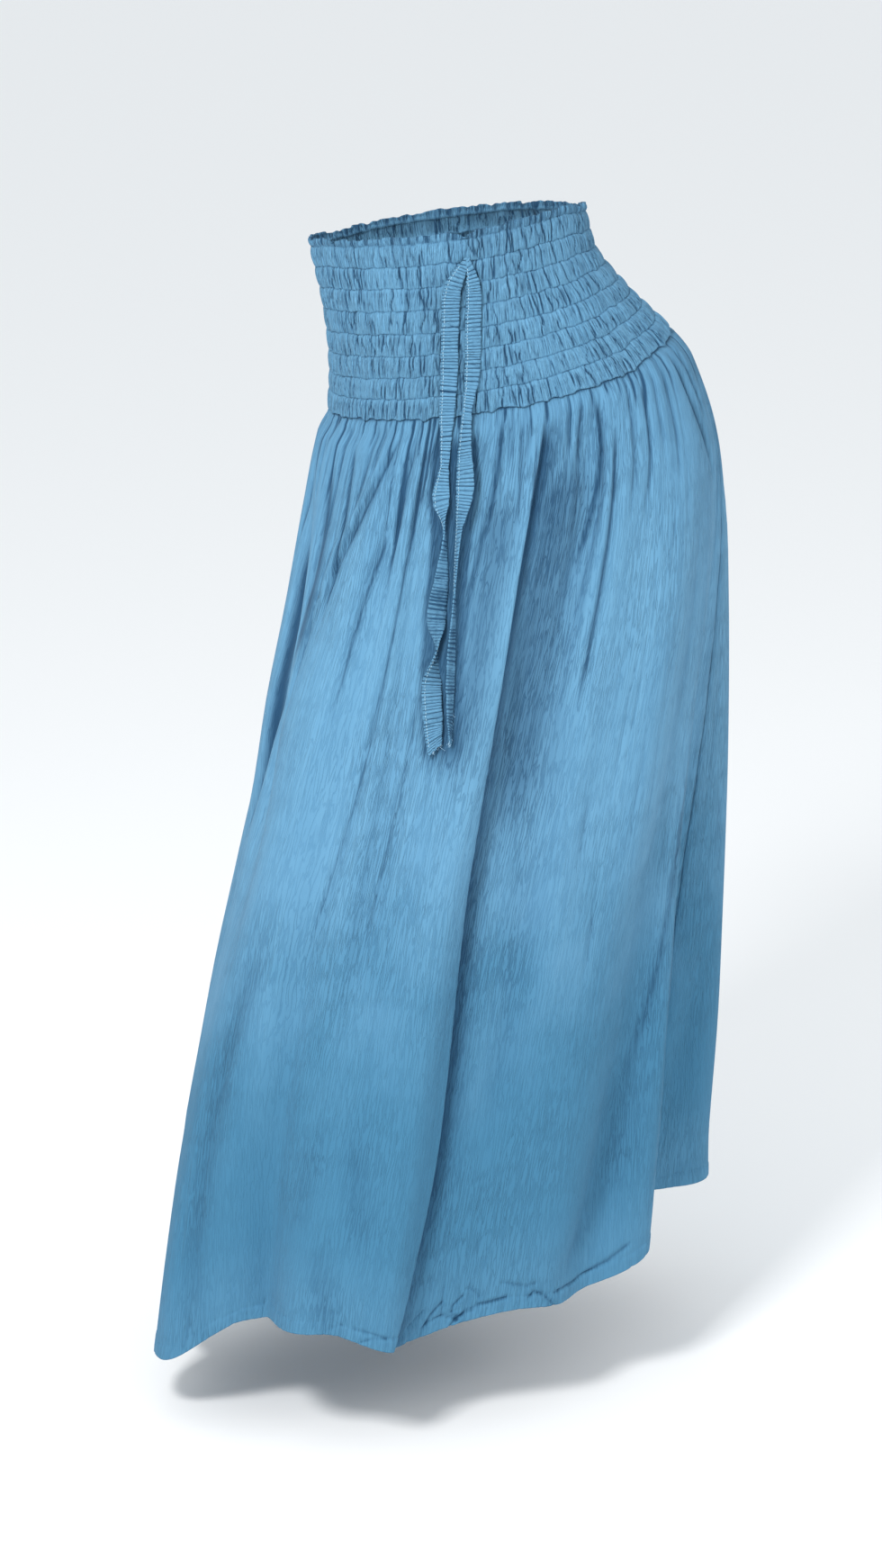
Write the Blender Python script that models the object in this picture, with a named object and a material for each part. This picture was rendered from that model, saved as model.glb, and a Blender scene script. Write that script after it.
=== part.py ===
# A long gathered skirt with a wide shirred yoke and a free-hanging waist tie.
# It is worn: hollow, open at the waist and the hem, with one hip pushed out to +X and the
# cloth swung forward on the -X side. Front is -Y, up is +Z, and the origin is the middle
# of the waist opening, where the elastic yoke holds on.

import math
from collections import namedtuple

import bmesh
import bpy
from mathutils import Vector

MM = 0.001

# Driving sizes of the cut, in millimetres down the cloth at the centre front.
SKIRT_LENGTH = 1016
HEADER = 7
SHIRRING_ROWS = 8
ROW_PITCH = 19.5
YOKE_LENGTH = HEADER + SHIRRING_ROWS * ROW_PITCH

# Cloth and seams, in millimetres.
WALL = 1.5
SEAM_GAP = 0.3
PUFF_RISE = 4
GATHER_GROOVE = 2.2
HEADER_FLARE = 1.6
NOTCH_DEPTH = 4
NOTCH_HALF_ANGLE = 6

# How far a row of the yoke puffs out, as a share of PUFF_RISE, at shares of the way down it.
PUFF = {0: 0, 0.25: 0.8, 0.7: 1}

# Gathers on each half of the garment, and its columns of points.
GATHERS = 32
COLUMNS = 2 * GATHERS
GATHER_RISE = 2.8
GATHER_FADE = 140

# Horizontal rings through the garment. All are in millimetres:
# down    how far down the cloth at the centre front
# drop    how far the ring's middle lies below the origin
# left, right, middle    x of the ring's two ends and of its front and back points
# front, back    how far the ring reaches forward and back of its two ends
# swing   how far the left end comes forward and the right end goes back
# rise    how far the right end is lifted and the left end is lowered
# dip     how far the front is lowered and the back is lifted
Ring = namedtuple("Ring", "down drop left right middle front back swing rise dip")
RINGS = [
    Ring(0, -5, -121, 122, 17, 90, 88, 0, 16, 4),
    Ring(7, 2, -120, 123, 17, 90, 88, 0, 16, 4),
    Ring(46, 38, -112, 133, 17, 95, 95, 0, 18, 5),
    Ring(85, 73, -106, 156, 15, 102, 106, 0, 23, 6),
    Ring(124, 105, -104, 180, 13, 109, 117, 0, 30, 7),
    Ring(163, 136, -107, 209, 11, 116, 126, 0, 34, 8),
    Ring(180, 153, -116, 221, 11, 124, 133, 2, 34, 8),
    Ring(248, 220, -130, 244, 9, 138, 146, 10, 35, 8),
    Ring(334, 304, -146, 255, 6, 152, 155, 20, 36, 7),
    Ring(420, 388, -164, 257, 2, 168, 160, 30, 36, 6),
    Ring(505, 471, -178, 256, -5, 182, 165, 40, 36, 5),
    Ring(590, 555, -197, 253, -13, 196, 170, 50, 36, 4),
    Ring(675, 639, -217, 249, -18, 208, 176, 60, 36, 3),
    Ring(760, 722, -234, 247, -23, 216, 182, 70, 36, 2),
    Ring(845, 806, -248, 245, -30, 220, 189, 78, 36, 1),
    Ring(930, 889, -258, 242, -42, 222, 196, 84, 36, 0),
    Ring(1016, 973, -266, 240, -54, 222, 203, 88, 36, 0),
]

# Folds of the hanging cloth. Angles are in degrees round the ring from the centre front,
# positive towards +X. A fold runs from its angle at the yoke seam through its angle a third
# of the way down to its angle at the hem. A positive height is a ridge and a negative one a
# trough, in millimetres. Left and right are how far it spreads, in degrees, and begins, full
# and ends are shares of the way down where it starts, is whole, and starts to fade.
Fold = namedtuple("Fold", "height top third hem left right begins full ends")
FOLDS = [
    Fold(-11, -82, -68, -60, 5, 7, 0.02, 0.15, 0.36),
    Fold(16, -52, -50, -72, 15, 17, 0.05, 0.45, 1.2),
    Fold(-9, -24, -32, -40, 5, 7, 0.02, 0.15, 0.62),
    Fold(-58, -24, -32, -42, 20, 15, 0.50, 1.0, 1.2),
    Fold(-9, -12, -17, -20, 3, 6, 0.02, 0.25, 0.50),
    Fold(16, 19, 6, -2, 11, 5, 0.03, 0.30, 1.2),
    Fold(-12, 27, 14, 7, 5, 12, 0.03, 0.35, 1.2),
    Fold(-6, 5, 3, 0, 3, 3, 0.01, 0.04, 0.12),
    Fold(-9, 34, 22, 18, 3, 3, 0.01, 0.06, 0.22),
    Fold(8, 39, 27, 23, 3, 7, 0.03, 0.20, 0.60),
    Fold(15, 66, 44, 30, 10, 9, 0.04, 0.30, 1.2),
    Fold(-10, 70, 57, 36, 5, 5, 0.30, 0.60, 1.2),
    Fold(26, 76, 62, 48, 9, 6, 0.15, 0.80, 1.2),
    Fold(-54, 84, 72, 65, 7, 9, 0.02, 1.0, 1.2),
    Fold(16, 98, 92, 84, 9, 10, 0.10, 0.80, 1.2),
    Fold(-26, 112, 114, 108, 7, 8, 0.05, 0.80, 1.2),
    Fold(14, 128, 132, 128, 9, 8, 0.05, 0.50, 1.2),
    Fold(-22, 146, 148, 150, 7, 9, 0.05, 0.70, 1.2),
    Fold(13, 163, 166, 170, 9, 7, 0.08, 0.60, 1.2),
    Fold(-28, -176, -172, -168, 8, 7, 0.04, 0.80, 1.2),
    Fold(15, -157, -154, -150, 9, 9, 0.10, 0.60, 1.2),
    Fold(-24, -138, -136, -132, 7, 8, 0.05, 0.80, 1.2),
    Fold(12, -118, -116, -113, 8, 8, 0.08, 0.50, 1.2),
    Fold(-20, -101, -98, -95, 6, 7, 0.10, 0.80, 1.2),
]

# How much lower the hem hangs than its ring, in millimetres, at angles round it, and how far
# the grain of the cloth turns round the body between the yoke and the hem, in degrees.
AtAngle = namedtuple("AtAngle", "angle value")
HEM_DROP = [
    AtAngle(-180, 0),
    AtAngle(-130, 5),
    AtAngle(-95, 20),
    AtAngle(-72, 24),
    AtAngle(-50, -20),
    AtAngle(-16, -22),
    AtAngle(8, 12),
    AtAngle(22, 6),
    AtAngle(34, 18),
    AtAngle(58, -4),
    AtAngle(80, 2),
    AtAngle(120, 8),
    AtAngle(180, 0),
]
GRAIN_TURN = [
    AtAngle(-180, 8),
    AtAngle(-110, 4),
    AtAngle(-75, -8),
    AtAngle(-45, -19),
    AtAngle(19, -21),
    AtAngle(66, -30),
    AtAngle(84, -22),
    AtAngle(112, -4),
    AtAngle(146, 4),
    AtAngle(180, 8),
]

# Shares of the way down the hanging cloth where a row of points lies.
SKIRT_ROWS = (0, 0.014, 0.04, 0.085, 0.15, 0.23, 0.33, 0.44, 0.56, 0.68, 0.8, 0.91, 1)

# The tie comes out of the yoke at the centre front and hangs in two free ends, each a flat
# tube of cloth. Points are x, y, z in millimetres. Turn is how far the flat of the tie
# is twisted, in degrees, and narrow is the share of its width that is left where it is pinched.
TIE_WIDTH = 17
TIE_THICKNESS = 2
TiePoint = namedtuple("TiePoint", "x y z turn narrow")
TIE_LEFT = [
    TiePoint(11, -99, -16, 0, 0.5),
    TiePoint(6, -103.5, -34, 0, 1),
    TiePoint(3, -107.5, -69, 0, 1),
    TiePoint(2, -116, -113, 0, 1),
    TiePoint(0, -121.5, -150, 0, 0.8),
    TiePoint(-2, -132, -189, 20, 0.5),
    TiePoint(-5, -140, -218, 20, 0.9),
    TiePoint(-2, -147, -242, 90, 0.35),
    TiePoint(-4, -154.5, -280, 150, 0.7),
    TiePoint(-9, -162.5, -319, 180, 1),
    TiePoint(-11, -169, -345, 200, 0.5),
    TiePoint(-13, -177, -374, 180, 1),
    TiePoint(-12, -187.5, -405, 180, 1),
    TiePoint(-10, -195.5, -434, 180, 0.9),
]
TIE_RIGHT = [
    TiePoint(21, -99, -16, 0, 0.5),
    TiePoint(23, -102.5, -34, 0, 0.9),
    TiePoint(23, -107.5, -68, 0, 1),
    TiePoint(22, -116, -113, 0, 0.9),
    TiePoint(18, -123, -143, 20, 0.5),
    TiePoint(16, -131, -173, 40, 0.8),
    TiePoint(16, -142, -208, 20, 0.9),
    TiePoint(11, -148.5, -242, 60, 0.5),
    TiePoint(8, -155, -280, 80, 0.4),
    TiePoint(6, -167, -318, 110, 0.6),
    TiePoint(4, -177, -357, 130, 0.6),
    TiePoint(3, -189, -396, 120, 0.6),
    TiePoint(3, -197, -424, 100, 0.5),
]

CLOTH = {"color": (0.135, 0.34, 0.55, 1), "roughness": 0.78, "metallic": 0.0}


def ease(low, high, value):
    share = min(max((value - low) / (high - low), 0), 1)
    return share * share * (3 - 2 * share)


def ring_at(down):
    """The ring at a place down the cloth, on a smooth curve through the table's rings."""
    last = len(RINGS) - 2
    i = next((k for k in range(last) if down <= RINGS[k + 1].down), last)
    before, low = RINGS[max(i - 1, 0)], RINGS[i]
    high, after = RINGS[i + 1], RINGS[min(i + 2, last + 1)]
    span = high.down - low.down
    share = (down - low.down) / span
    values = []
    for a, b, c, d in zip(before, low, high, after):
        start = (c - a) / (high.down - before.down) * span
        end = (d - b) / (after.down - low.down) * span
        values.append(
            b
            + share * start
            + share**2 * (3 * (c - b) - 2 * start - end)
            + share**3 * (2 * (b - c) + start + end)
        )
    return Ring(*values)


def base_point(angle, down):
    """A point of the garment without its folds, in millimetres."""
    ring = ring_at(down)
    sine, cosine = math.sin(math.radians(angle)), math.cos(math.radians(angle))
    reach = ring.right - ring.middle if sine > 0 else ring.middle - ring.left
    x = ring.middle + reach * sine
    across = (2 * x - ring.left - ring.right) / (ring.right - ring.left)
    y = ring.swing * across - (ring.front if cosine > 0 else ring.back) * cosine
    z = ring.rise * across - ring.dip * cosine - ring.drop
    return Vector((x, y, z))


def outward(angle, down):
    """The level direction out of the ring."""
    step = 2
    along = base_point(angle + step, down) - base_point(angle - step, down)
    return Vector((along.y, -along.x, 0)).normalized()


def down_share(down):
    return (down - YOKE_LENGTH) / (SKIRT_LENGTH - YOKE_LENGTH)


def fold_angle(fold, share):
    """The angle of a fold's middle, on a parabola through its three angles."""
    third = 1 / 3
    return (
        fold.top * (share - third) * (share - 1) / third
        + fold.third * share * (share - 1) / (third * (third - 1))
        + fold.hem * share * (share - third) / (1 - third)
    )


def fold_height(fold, angle, share):
    away = (angle - fold_angle(fold, share) + 180) % 360 - 180
    spread = fold.left if away < 0 else fold.right
    grown = ease(fold.begins, fold.full, share)
    left_over = 1 - ease(fold.ends, fold.ends + 0.25, share)
    return fold.height * grown * left_over * math.exp(-((away / spread) ** 2))


def table_value(table, angle):
    """A table's value at an angle, eased between its points."""
    place = (angle + 180) % 360 - 180
    i = next(k for k in range(len(table) - 1) if place <= table[k + 1].angle)
    low, high = table[i], table[i + 1]
    return low.value + ease(low.angle, high.angle, place) * (high.value - low.value)


def cloth_point(angle, down):
    """A point of the garment's middle surface with its folds but not its gathers."""
    point = base_point(angle, down)
    share = down_share(down)
    if share <= 0:
        return point
    height = sum(fold_height(fold, angle, share) for fold in FOLDS)
    point += outward(angle, down) * height
    point.z -= table_value(HEM_DROP, angle) * share**2
    return point


def facing(angle, down):
    """The direction straight out of the cloth."""
    step_angle, step_down = 1.5, 4
    if down <= YOKE_LENGTH:
        above, below = max(down - step_down, 0), max(down, step_down)
    else:
        above, below = down - step_down, min(down + step_down, SKIRT_LENGTH)
    across = cloth_point(angle + step_angle, down) - cloth_point(angle - step_angle, down)
    along = cloth_point(angle, below) - cloth_point(angle, above)
    return along.cross(across).normalized()


def gather_rise(column, angle, down):
    """How far a gather of the hanging cloth stands out, dying away below the seam."""
    below = down - YOKE_LENGTH
    size = GATHER_RISE * (0.75 + 0.25 * math.sin(math.radians(angle * 7 + 40)))
    size *= ease(-30, 12, below) * math.exp(-below / GATHER_FADE)
    return size if column % 2 else -size


def puff_rise(column, row, share):
    """How far the yoke's cloth puffs out between two lines of elastic."""
    uneven = 0.3 * math.sin(2.4 * column + 1.7 * row)
    groove = GATHER_GROOVE if (column + row) % 2 else 0
    return (PUFF_RISE + uneven - groove) * PUFF[share]


def yoke_levels():
    """(down, row, share) of each level of points on the yoke's outside."""
    levels = [(0, -1, 0), (HEADER / 2, -1, 0.5)]
    for row in range(SHIRRING_ROWS):
        levels += [(HEADER + (row + share) * ROW_PITCH, row, share) for share in PUFF]
    levels.append((YOKE_LENGTH, SHIRRING_ROWS, 0))
    return levels


def yoke_base(angle, down):
    """The yoke's middle surface, with the small notch in its top edge at the tie."""
    point = cloth_point(angle, down)
    near = max(0, 1 - abs(angle) / NOTCH_HALF_ANGLE)
    point.z -= NOTCH_DEPTH * near * max(0, 1 - down / HEADER)
    return point


def column_angles(middle, down):
    """The angles of the columns of the front half or the back half, along the grain."""
    share = max(down_share(down), 0)
    turned = share * (2 - share)
    straight = [middle - 90 + 180 * i / COLUMNS for i in range(COLUMNS + 1)]
    return [angle + table_value(GRAIN_TURN, angle) * turned for angle in straight]


def seam_shift(column, angle, down):
    """Moves an edge column off the side seam, so that the two halves stay apart."""
    if column not in (0, COLUMNS):
        return Vector((0, 0, 0))
    along = cloth_point(angle + 0.5, down) - cloth_point(angle - 0.5, down)
    away = SEAM_GAP / 2 if column == 0 else -SEAM_GAP / 2
    return along.normalized() * away


def yoke_walls(middle):
    """The rows of points outside and inside one half of the yoke."""
    outside, inside = [], []
    for down, row, share in yoke_levels():
        points = []
        for i, angle in enumerate(column_angles(middle, down)):
            if row < 0:
                rise = HEADER_FLARE * (1 if i % 2 else -0.2) * (1 - down / HEADER)
            else:
                rise = puff_rise(i, row, share)
            point = yoke_base(angle, down) + seam_shift(i, angle, down)
            points.append(point + facing(angle, down) * (WALL / 2 + rise))
        outside.append(points)
    for down in [ring.down for ring in RINGS if ring.down <= YOKE_LENGTH]:
        points = []
        for i, angle in enumerate(column_angles(middle, down)):
            point = yoke_base(angle, down) + seam_shift(i, angle, down)
            points.append(point - facing(angle, down) * WALL / 2)
        inside.append(points)
    return outside, inside


def skirt_walls(middle):
    """The rows of points outside and inside one half of the hanging cloth."""
    outside, inside = [], []
    for share in SKIRT_ROWS:
        down = YOKE_LENGTH + share * (SKIRT_LENGTH - YOKE_LENGTH)
        outer, inner = [], []
        for i, angle in enumerate(column_angles(middle, down)):
            out = facing(angle, down)
            point = cloth_point(angle, down) + seam_shift(i, angle, down)
            if share == 0:
                below = cloth_point(angle, down) - cloth_point(angle, down - 1)
                point += below.normalized() * SEAM_GAP
            else:
                point += out * gather_rise(i, angle, down)
            outer.append(point + out * WALL / 2)
            inner.append(point - out * WALL / 2)
        outside.append(outer)
        inside.append(inner)
    return outside, inside


def join_chains(mesh, first, second):
    """Fills the strip between two chains of points, which may differ in number."""
    i = j = 0
    last_i, last_j = len(first) - 1, len(second) - 1
    while i < last_i or j < last_j:
        if j == last_j or (i < last_i and (i + 1) * last_j <= (j + 1) * last_i):
            mesh.faces.new((first[i], first[i + 1], second[j]))
            i += 1
        else:
            mesh.faces.new((first[i], second[j + 1], second[j]))
            j += 1


def new_material(name, finish):
    material = bpy.data.materials.new(name)
    material.use_nodes = True
    shader = material.node_tree.nodes["Principled BSDF"]
    shader.inputs["Base Color"].default_value = finish["color"]
    shader.inputs["Roughness"].default_value = finish["roughness"]
    shader.inputs["Metallic"].default_value = finish["metallic"]
    return material


def wall_object(name, walls, collection):
    """One closed piece of cloth, lofted through its rows of points."""
    mesh = bmesh.new()
    outside, inside = (
        [[mesh.verts.new(point * MM) for point in row] for row in rows] for rows in walls
    )
    for rows in (outside, inside):
        for above, below in zip(rows, rows[1:]):
            for i in range(len(above) - 1):
                mesh.faces.new((above[i], above[i + 1], below[i + 1], below[i]))
    join_chains(mesh, outside[0], inside[0])
    join_chains(mesh, outside[-1], inside[-1])
    for end in (0, -1):
        join_chains(mesh, [row[end] for row in outside], [row[end] for row in inside])
    bmesh.ops.recalc_face_normals(mesh, faces=mesh.faces)
    data = bpy.data.meshes.new(name)
    mesh.to_mesh(data)
    mesh.free()
    data.shade_smooth()
    data.set_sharp_from_angle(angle=math.radians(24))
    data.materials.append(new_material(name, CLOTH))
    piece = bpy.data.objects.new(name, data)
    collection.objects.link(piece)


def tie_object(name, route, collection):
    """One free end of the tie: a flat cloth tube that twists along its route."""
    curve = bpy.data.curves.new(name, "CURVE")
    curve.dimensions = "3D"
    curve.twist_mode = "Z_UP"
    curve.fill_mode = "FULL"
    curve.use_fill_caps = True
    curve.bevel_depth = TIE_THICKNESS / 2 * MM
    curve.bevel_resolution = 0
    curve.extrude = (TIE_WIDTH - TIE_THICKNESS) / 2 * MM
    spline = curve.splines.new("POLY")
    spline.points.add(len(route) - 1)
    for point, place in zip(spline.points, route):
        point.co = (place.x * MM, place.y * MM, place.z * MM, 1)
        point.tilt = math.radians(90 + place.turn)
        point.radius = place.narrow
    curve.materials.append(new_material(name, CLOTH))
    piece = bpy.data.objects.new(name, curve)
    collection.objects.link(piece)


def main():
    for old in list(bpy.data.objects):
        bpy.data.objects.remove(old)
    collection = bpy.data.collections.new("shirred_skirt")
    bpy.context.scene.collection.children.link(collection)
    for side, middle in (("front", 0), ("back", 180)):
        wall_object("yoke_" + side, yoke_walls(middle), collection)
        wall_object("skirt_" + side, skirt_walls(middle), collection)
    tie_object("tie_left", TIE_LEFT, collection)
    tie_object("tie_right", TIE_RIGHT, collection)


main()
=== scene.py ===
import math

import bpy
import numpy as np
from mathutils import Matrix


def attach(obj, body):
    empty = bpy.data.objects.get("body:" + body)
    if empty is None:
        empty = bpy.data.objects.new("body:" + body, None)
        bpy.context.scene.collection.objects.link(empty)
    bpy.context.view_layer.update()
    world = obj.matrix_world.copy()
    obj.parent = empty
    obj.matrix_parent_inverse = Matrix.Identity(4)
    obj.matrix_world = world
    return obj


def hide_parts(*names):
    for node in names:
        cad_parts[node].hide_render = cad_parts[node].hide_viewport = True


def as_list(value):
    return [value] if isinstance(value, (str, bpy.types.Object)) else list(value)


# A long gathered skirt in crinkled cloth: a shirred yoke in two halves, two hanging panels
# and a waist tie with two free ends. Shapes are worked out in millimetres, with angles in
# degrees round the body from the centre front towards +X, and a share is 0 at the yoke's
# seam and 1 at the hem.
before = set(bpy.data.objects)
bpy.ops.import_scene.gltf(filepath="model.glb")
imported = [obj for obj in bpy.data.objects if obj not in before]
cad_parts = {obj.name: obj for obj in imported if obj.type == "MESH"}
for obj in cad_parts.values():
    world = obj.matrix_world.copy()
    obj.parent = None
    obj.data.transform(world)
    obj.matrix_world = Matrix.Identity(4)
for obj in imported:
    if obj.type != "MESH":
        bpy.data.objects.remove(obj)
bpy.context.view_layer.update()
mm = 0.001

print("camera")
view = {"place": (-0.005, -3.85, 0.692), "tipDown": 17.5, "lens": 100, "sensor": 36, "far": 80}
bpy.ops.object.camera_add(location=view["place"],
                          rotation=(math.radians(90 - view["tipDown"]), 0, 0))
camera = bpy.context.object
camera.name = "photographView"
camera.data.lens = view["lens"]
camera.data.sensor_width = view["sensor"]
camera.data.clip_end = view["far"]
bpy.context.scene.camera = camera
bpy.context.scene.view_settings.view_transform = "Standard"


def ease(low, high, value):
    share = np.clip((value - low) / (high - low), 0, 1)
    return share * share * (3 - 2 * share)


def fadeInOut(value, comes, full, fades, gone):
    # 1 from full to fades, and 0 before comes and after gone
    return ease(comes, full, value) * (1 - ease(fades, gone, value))


def bell(value):
    return np.exp(-(value**2))


def unit(vectors):
    return vectors / np.linalg.norm(vectors, axis=-1, keepdims=True)


def runAlong(points):
    # how far along a line of points each of them is
    return np.concatenate([[0], np.cumsum(np.linalg.norm(np.diff(points, axis=0), axis=1))])


def wander(places, length, waves, draw):
    # a smooth uneven line that closes on itself after length
    line = np.zeros_like(places)
    for wave in waves:
        line += np.cos(2 * math.pi * (places / length * wave + draw.random())) * draw.uniform(0.4, 1)
    return line / math.sqrt(len(waves) / 2 + 0.5)


# the two free ends of the tie, along their solids, but begun higher, about 3 mm nearer the cloth
# and narrower at the top, and with half a turn more low down on the left one:
# x, y, z in millimetres, how far the flat is turned, and the share of the width that is left
tie = {
    "width": 17,
    "thickness": 1.5,
    "rows": 780,
    "across": 13,
    "pleat": 3.1,
    "pleatRelief": 0.55,
    "stitchEdge": -0.7,
    "stitchPitch": 2.9,
    "stitchRadius": 0.38,
    "frayRadius": 0.2,
    "left": [
        (17.2, -91.5, -11, 0, 0.2), (16, -95.6, -15, 0, 0.3), (12.5, -97.8, -22, 0, 0.55),
        (6.5, -100.6, -34, 0, 0.84), (3, -104.4, -69, 0, 0.88), (2, -112.9, -113, 0, 0.88),
        (0, -119.3, -150, 0, 0.74),
        (-2, -132, -189, 20, 0.5), (-5, -140, -218, 20, 0.9), (-2, -147, -242, 90, 0.4),
        (-4, -154.5, -280, 160, 0.7), (-9, -162.5, -319, 180, 1), (-9, -169.5, -343, 262, 0.62),
        (-13, -177, -374, 352, 1), (-12, -187.5, -405, 360, 1), (-10, -195.5, -434, 360, 0.78),
    ],
    "right": [
        (18, -91.5, -11, 0, 0.2), (18.8, -95.6, -15, 0, 0.26), (20.8, -97.4, -22, 0, 0.46),
        (23, -99.8, -34, 0, 0.68), (23, -104.6, -68, 0, 0.8), (22, -113.2, -113, 0, 0.74),
        (18, -121, -143, 20, 0.5),
        (16, -131, -173, 40, 0.85), (16, -142, -208, 20, 0.95), (11, -148.5, -242, 60, 0.55),
        (8, -155, -280, 80, 0.45), (6, -167, -318, 110, 0.6), (4, -177, -357, 130, 0.65),
        (3, -189, -396, 120, 0.6), (3, -197, -424, 100, 0.42),
    ],
}


def smoothRoute(points, count):
    # a curve through the points, sampled evenly along its length
    points = np.array(points, float)
    knots = runAlong(points[:, :3])
    slopes = np.gradient(points, knots, axis=0)

    def at(place):
        low = np.clip(np.searchsorted(knots, place) - 1, 0, len(knots) - 2)
        span = (knots[low + 1] - knots[low])[:, None]
        t = (place - knots[low])[:, None] / span
        return ((2 * t**3 - 3 * t**2 + 1) * points[low] + (t**3 - 2 * t**2 + t) * span * slopes[low]
                + (3 * t**2 - 2 * t**3) * points[low + 1] + (t**3 - t**2) * span * slopes[low + 1])

    fine = at(np.linspace(0, knots[-1], 3000))
    run = runAlong(fine[:, :3])
    wanted = np.linspace(0, run[-1], count)
    return wanted, np.stack([np.interp(wanted, run, fine[:, k]) for k in range(5)], -1)


def tieFrame(route):
    # the tie's run, and the ways across and out of its flat at each row
    along = unit(np.gradient(route[:, :3], axis=0))
    out = np.array([0, -1, 0]) - along * (along @ np.array([0, -1, 0]))[:, None]
    out = unit(out)
    side = np.cross(out, along)
    turn = np.radians(route[:, 3])[:, None]
    return along, np.cos(turn) * side + np.sin(turn) * out, np.cos(turn) * out - np.sin(turn) * side


def sheetFromPoints(name, points, chart, creaseShade, weight, thickness, offset=-1):
    # a grid is added flat, each of its points goes to its place, and it gets its thickness and its mark of
    # painted shade
    rows, columns = points.shape[:2]
    bpy.ops.object.select_all(action="DESELECT")
    bpy.ops.mesh.primitive_grid_add(x_subdivisions=columns - 1, y_subdivisions=rows - 1, size=2)
    piece = bpy.context.object
    piece.name = name
    mesh = piece.data
    mesh.name = name
    places = np.empty(len(mesh.vertices) * 3, np.float32)
    mesh.vertices.foreach_get("co", places)
    places = places.reshape(-1, 3)
    column = np.rint((places[:, 0] + 1) / 2 * (columns - 1)).astype(int)
    row = np.rint((1 - places[:, 1]) / 2 * (rows - 1)).astype(int)
    mesh.vertices.foreach_set("co", (points[row, column] * mm).astype(np.float32).ravel())
    corners = np.empty(len(mesh.loops), np.int32)
    mesh.loops.foreach_get("vertex_index", corners)
    mesh.uv_layers.active.name = "cloth"
    laid = (chart[row, column] * mm).astype(np.float32)
    mesh.uv_layers.active.data.foreach_set("uv", laid[corners].ravel())
    # the share of painted shade at each point, which darkens the cloth's colour in creases and folds
    mark = mesh.attributes.new("creaseShade", "FLOAT", "POINT")
    mark.data.foreach_set("value", creaseShade[row, column].astype(np.float32))
    group = piece.vertex_groups.new(name="thickness")
    levels = np.round(weight[row, column], 2)
    for level in np.unique(levels):
        group.add(np.flatnonzero(levels == level).tolist(), float(level), "REPLACE")
    bpy.ops.object.shade_smooth()
    wall = piece.modifiers.new("wall", "SOLIDIFY")
    wall.thickness = thickness * mm
    wall.offset = offset
    wall.vertex_group = "thickness"
    bpy.ops.object.modifier_apply(modifier="wall")
    return piece


def threadsFromLines(name, lines, radius):
    # many short threads as one closed mesh; each line is a list of points with a share of the radius
    curve = bpy.data.curves.new(name, "CURVE")
    curve.dimensions = "3D"
    curve.bevel_depth = radius * mm
    curve.bevel_resolution = 0
    curve.use_fill_caps = True
    for line in lines:
        spline = curve.splines.new("POLY")
        spline.points.add(len(line) - 1)
        for point, (place, share) in zip(spline.points, line):
            point.co = (*(place * mm), 1)
            point.radius = share
    piece = bpy.data.objects.new(name, curve)
    bpy.context.scene.collection.objects.link(piece)
    bpy.ops.object.select_all(action="DESELECT")
    piece.select_set(True)
    bpy.context.view_layer.objects.active = piece
    bpy.ops.object.convert(target="MESH")
    bpy.ops.object.shade_smooth()
    return bpy.context.object


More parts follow.
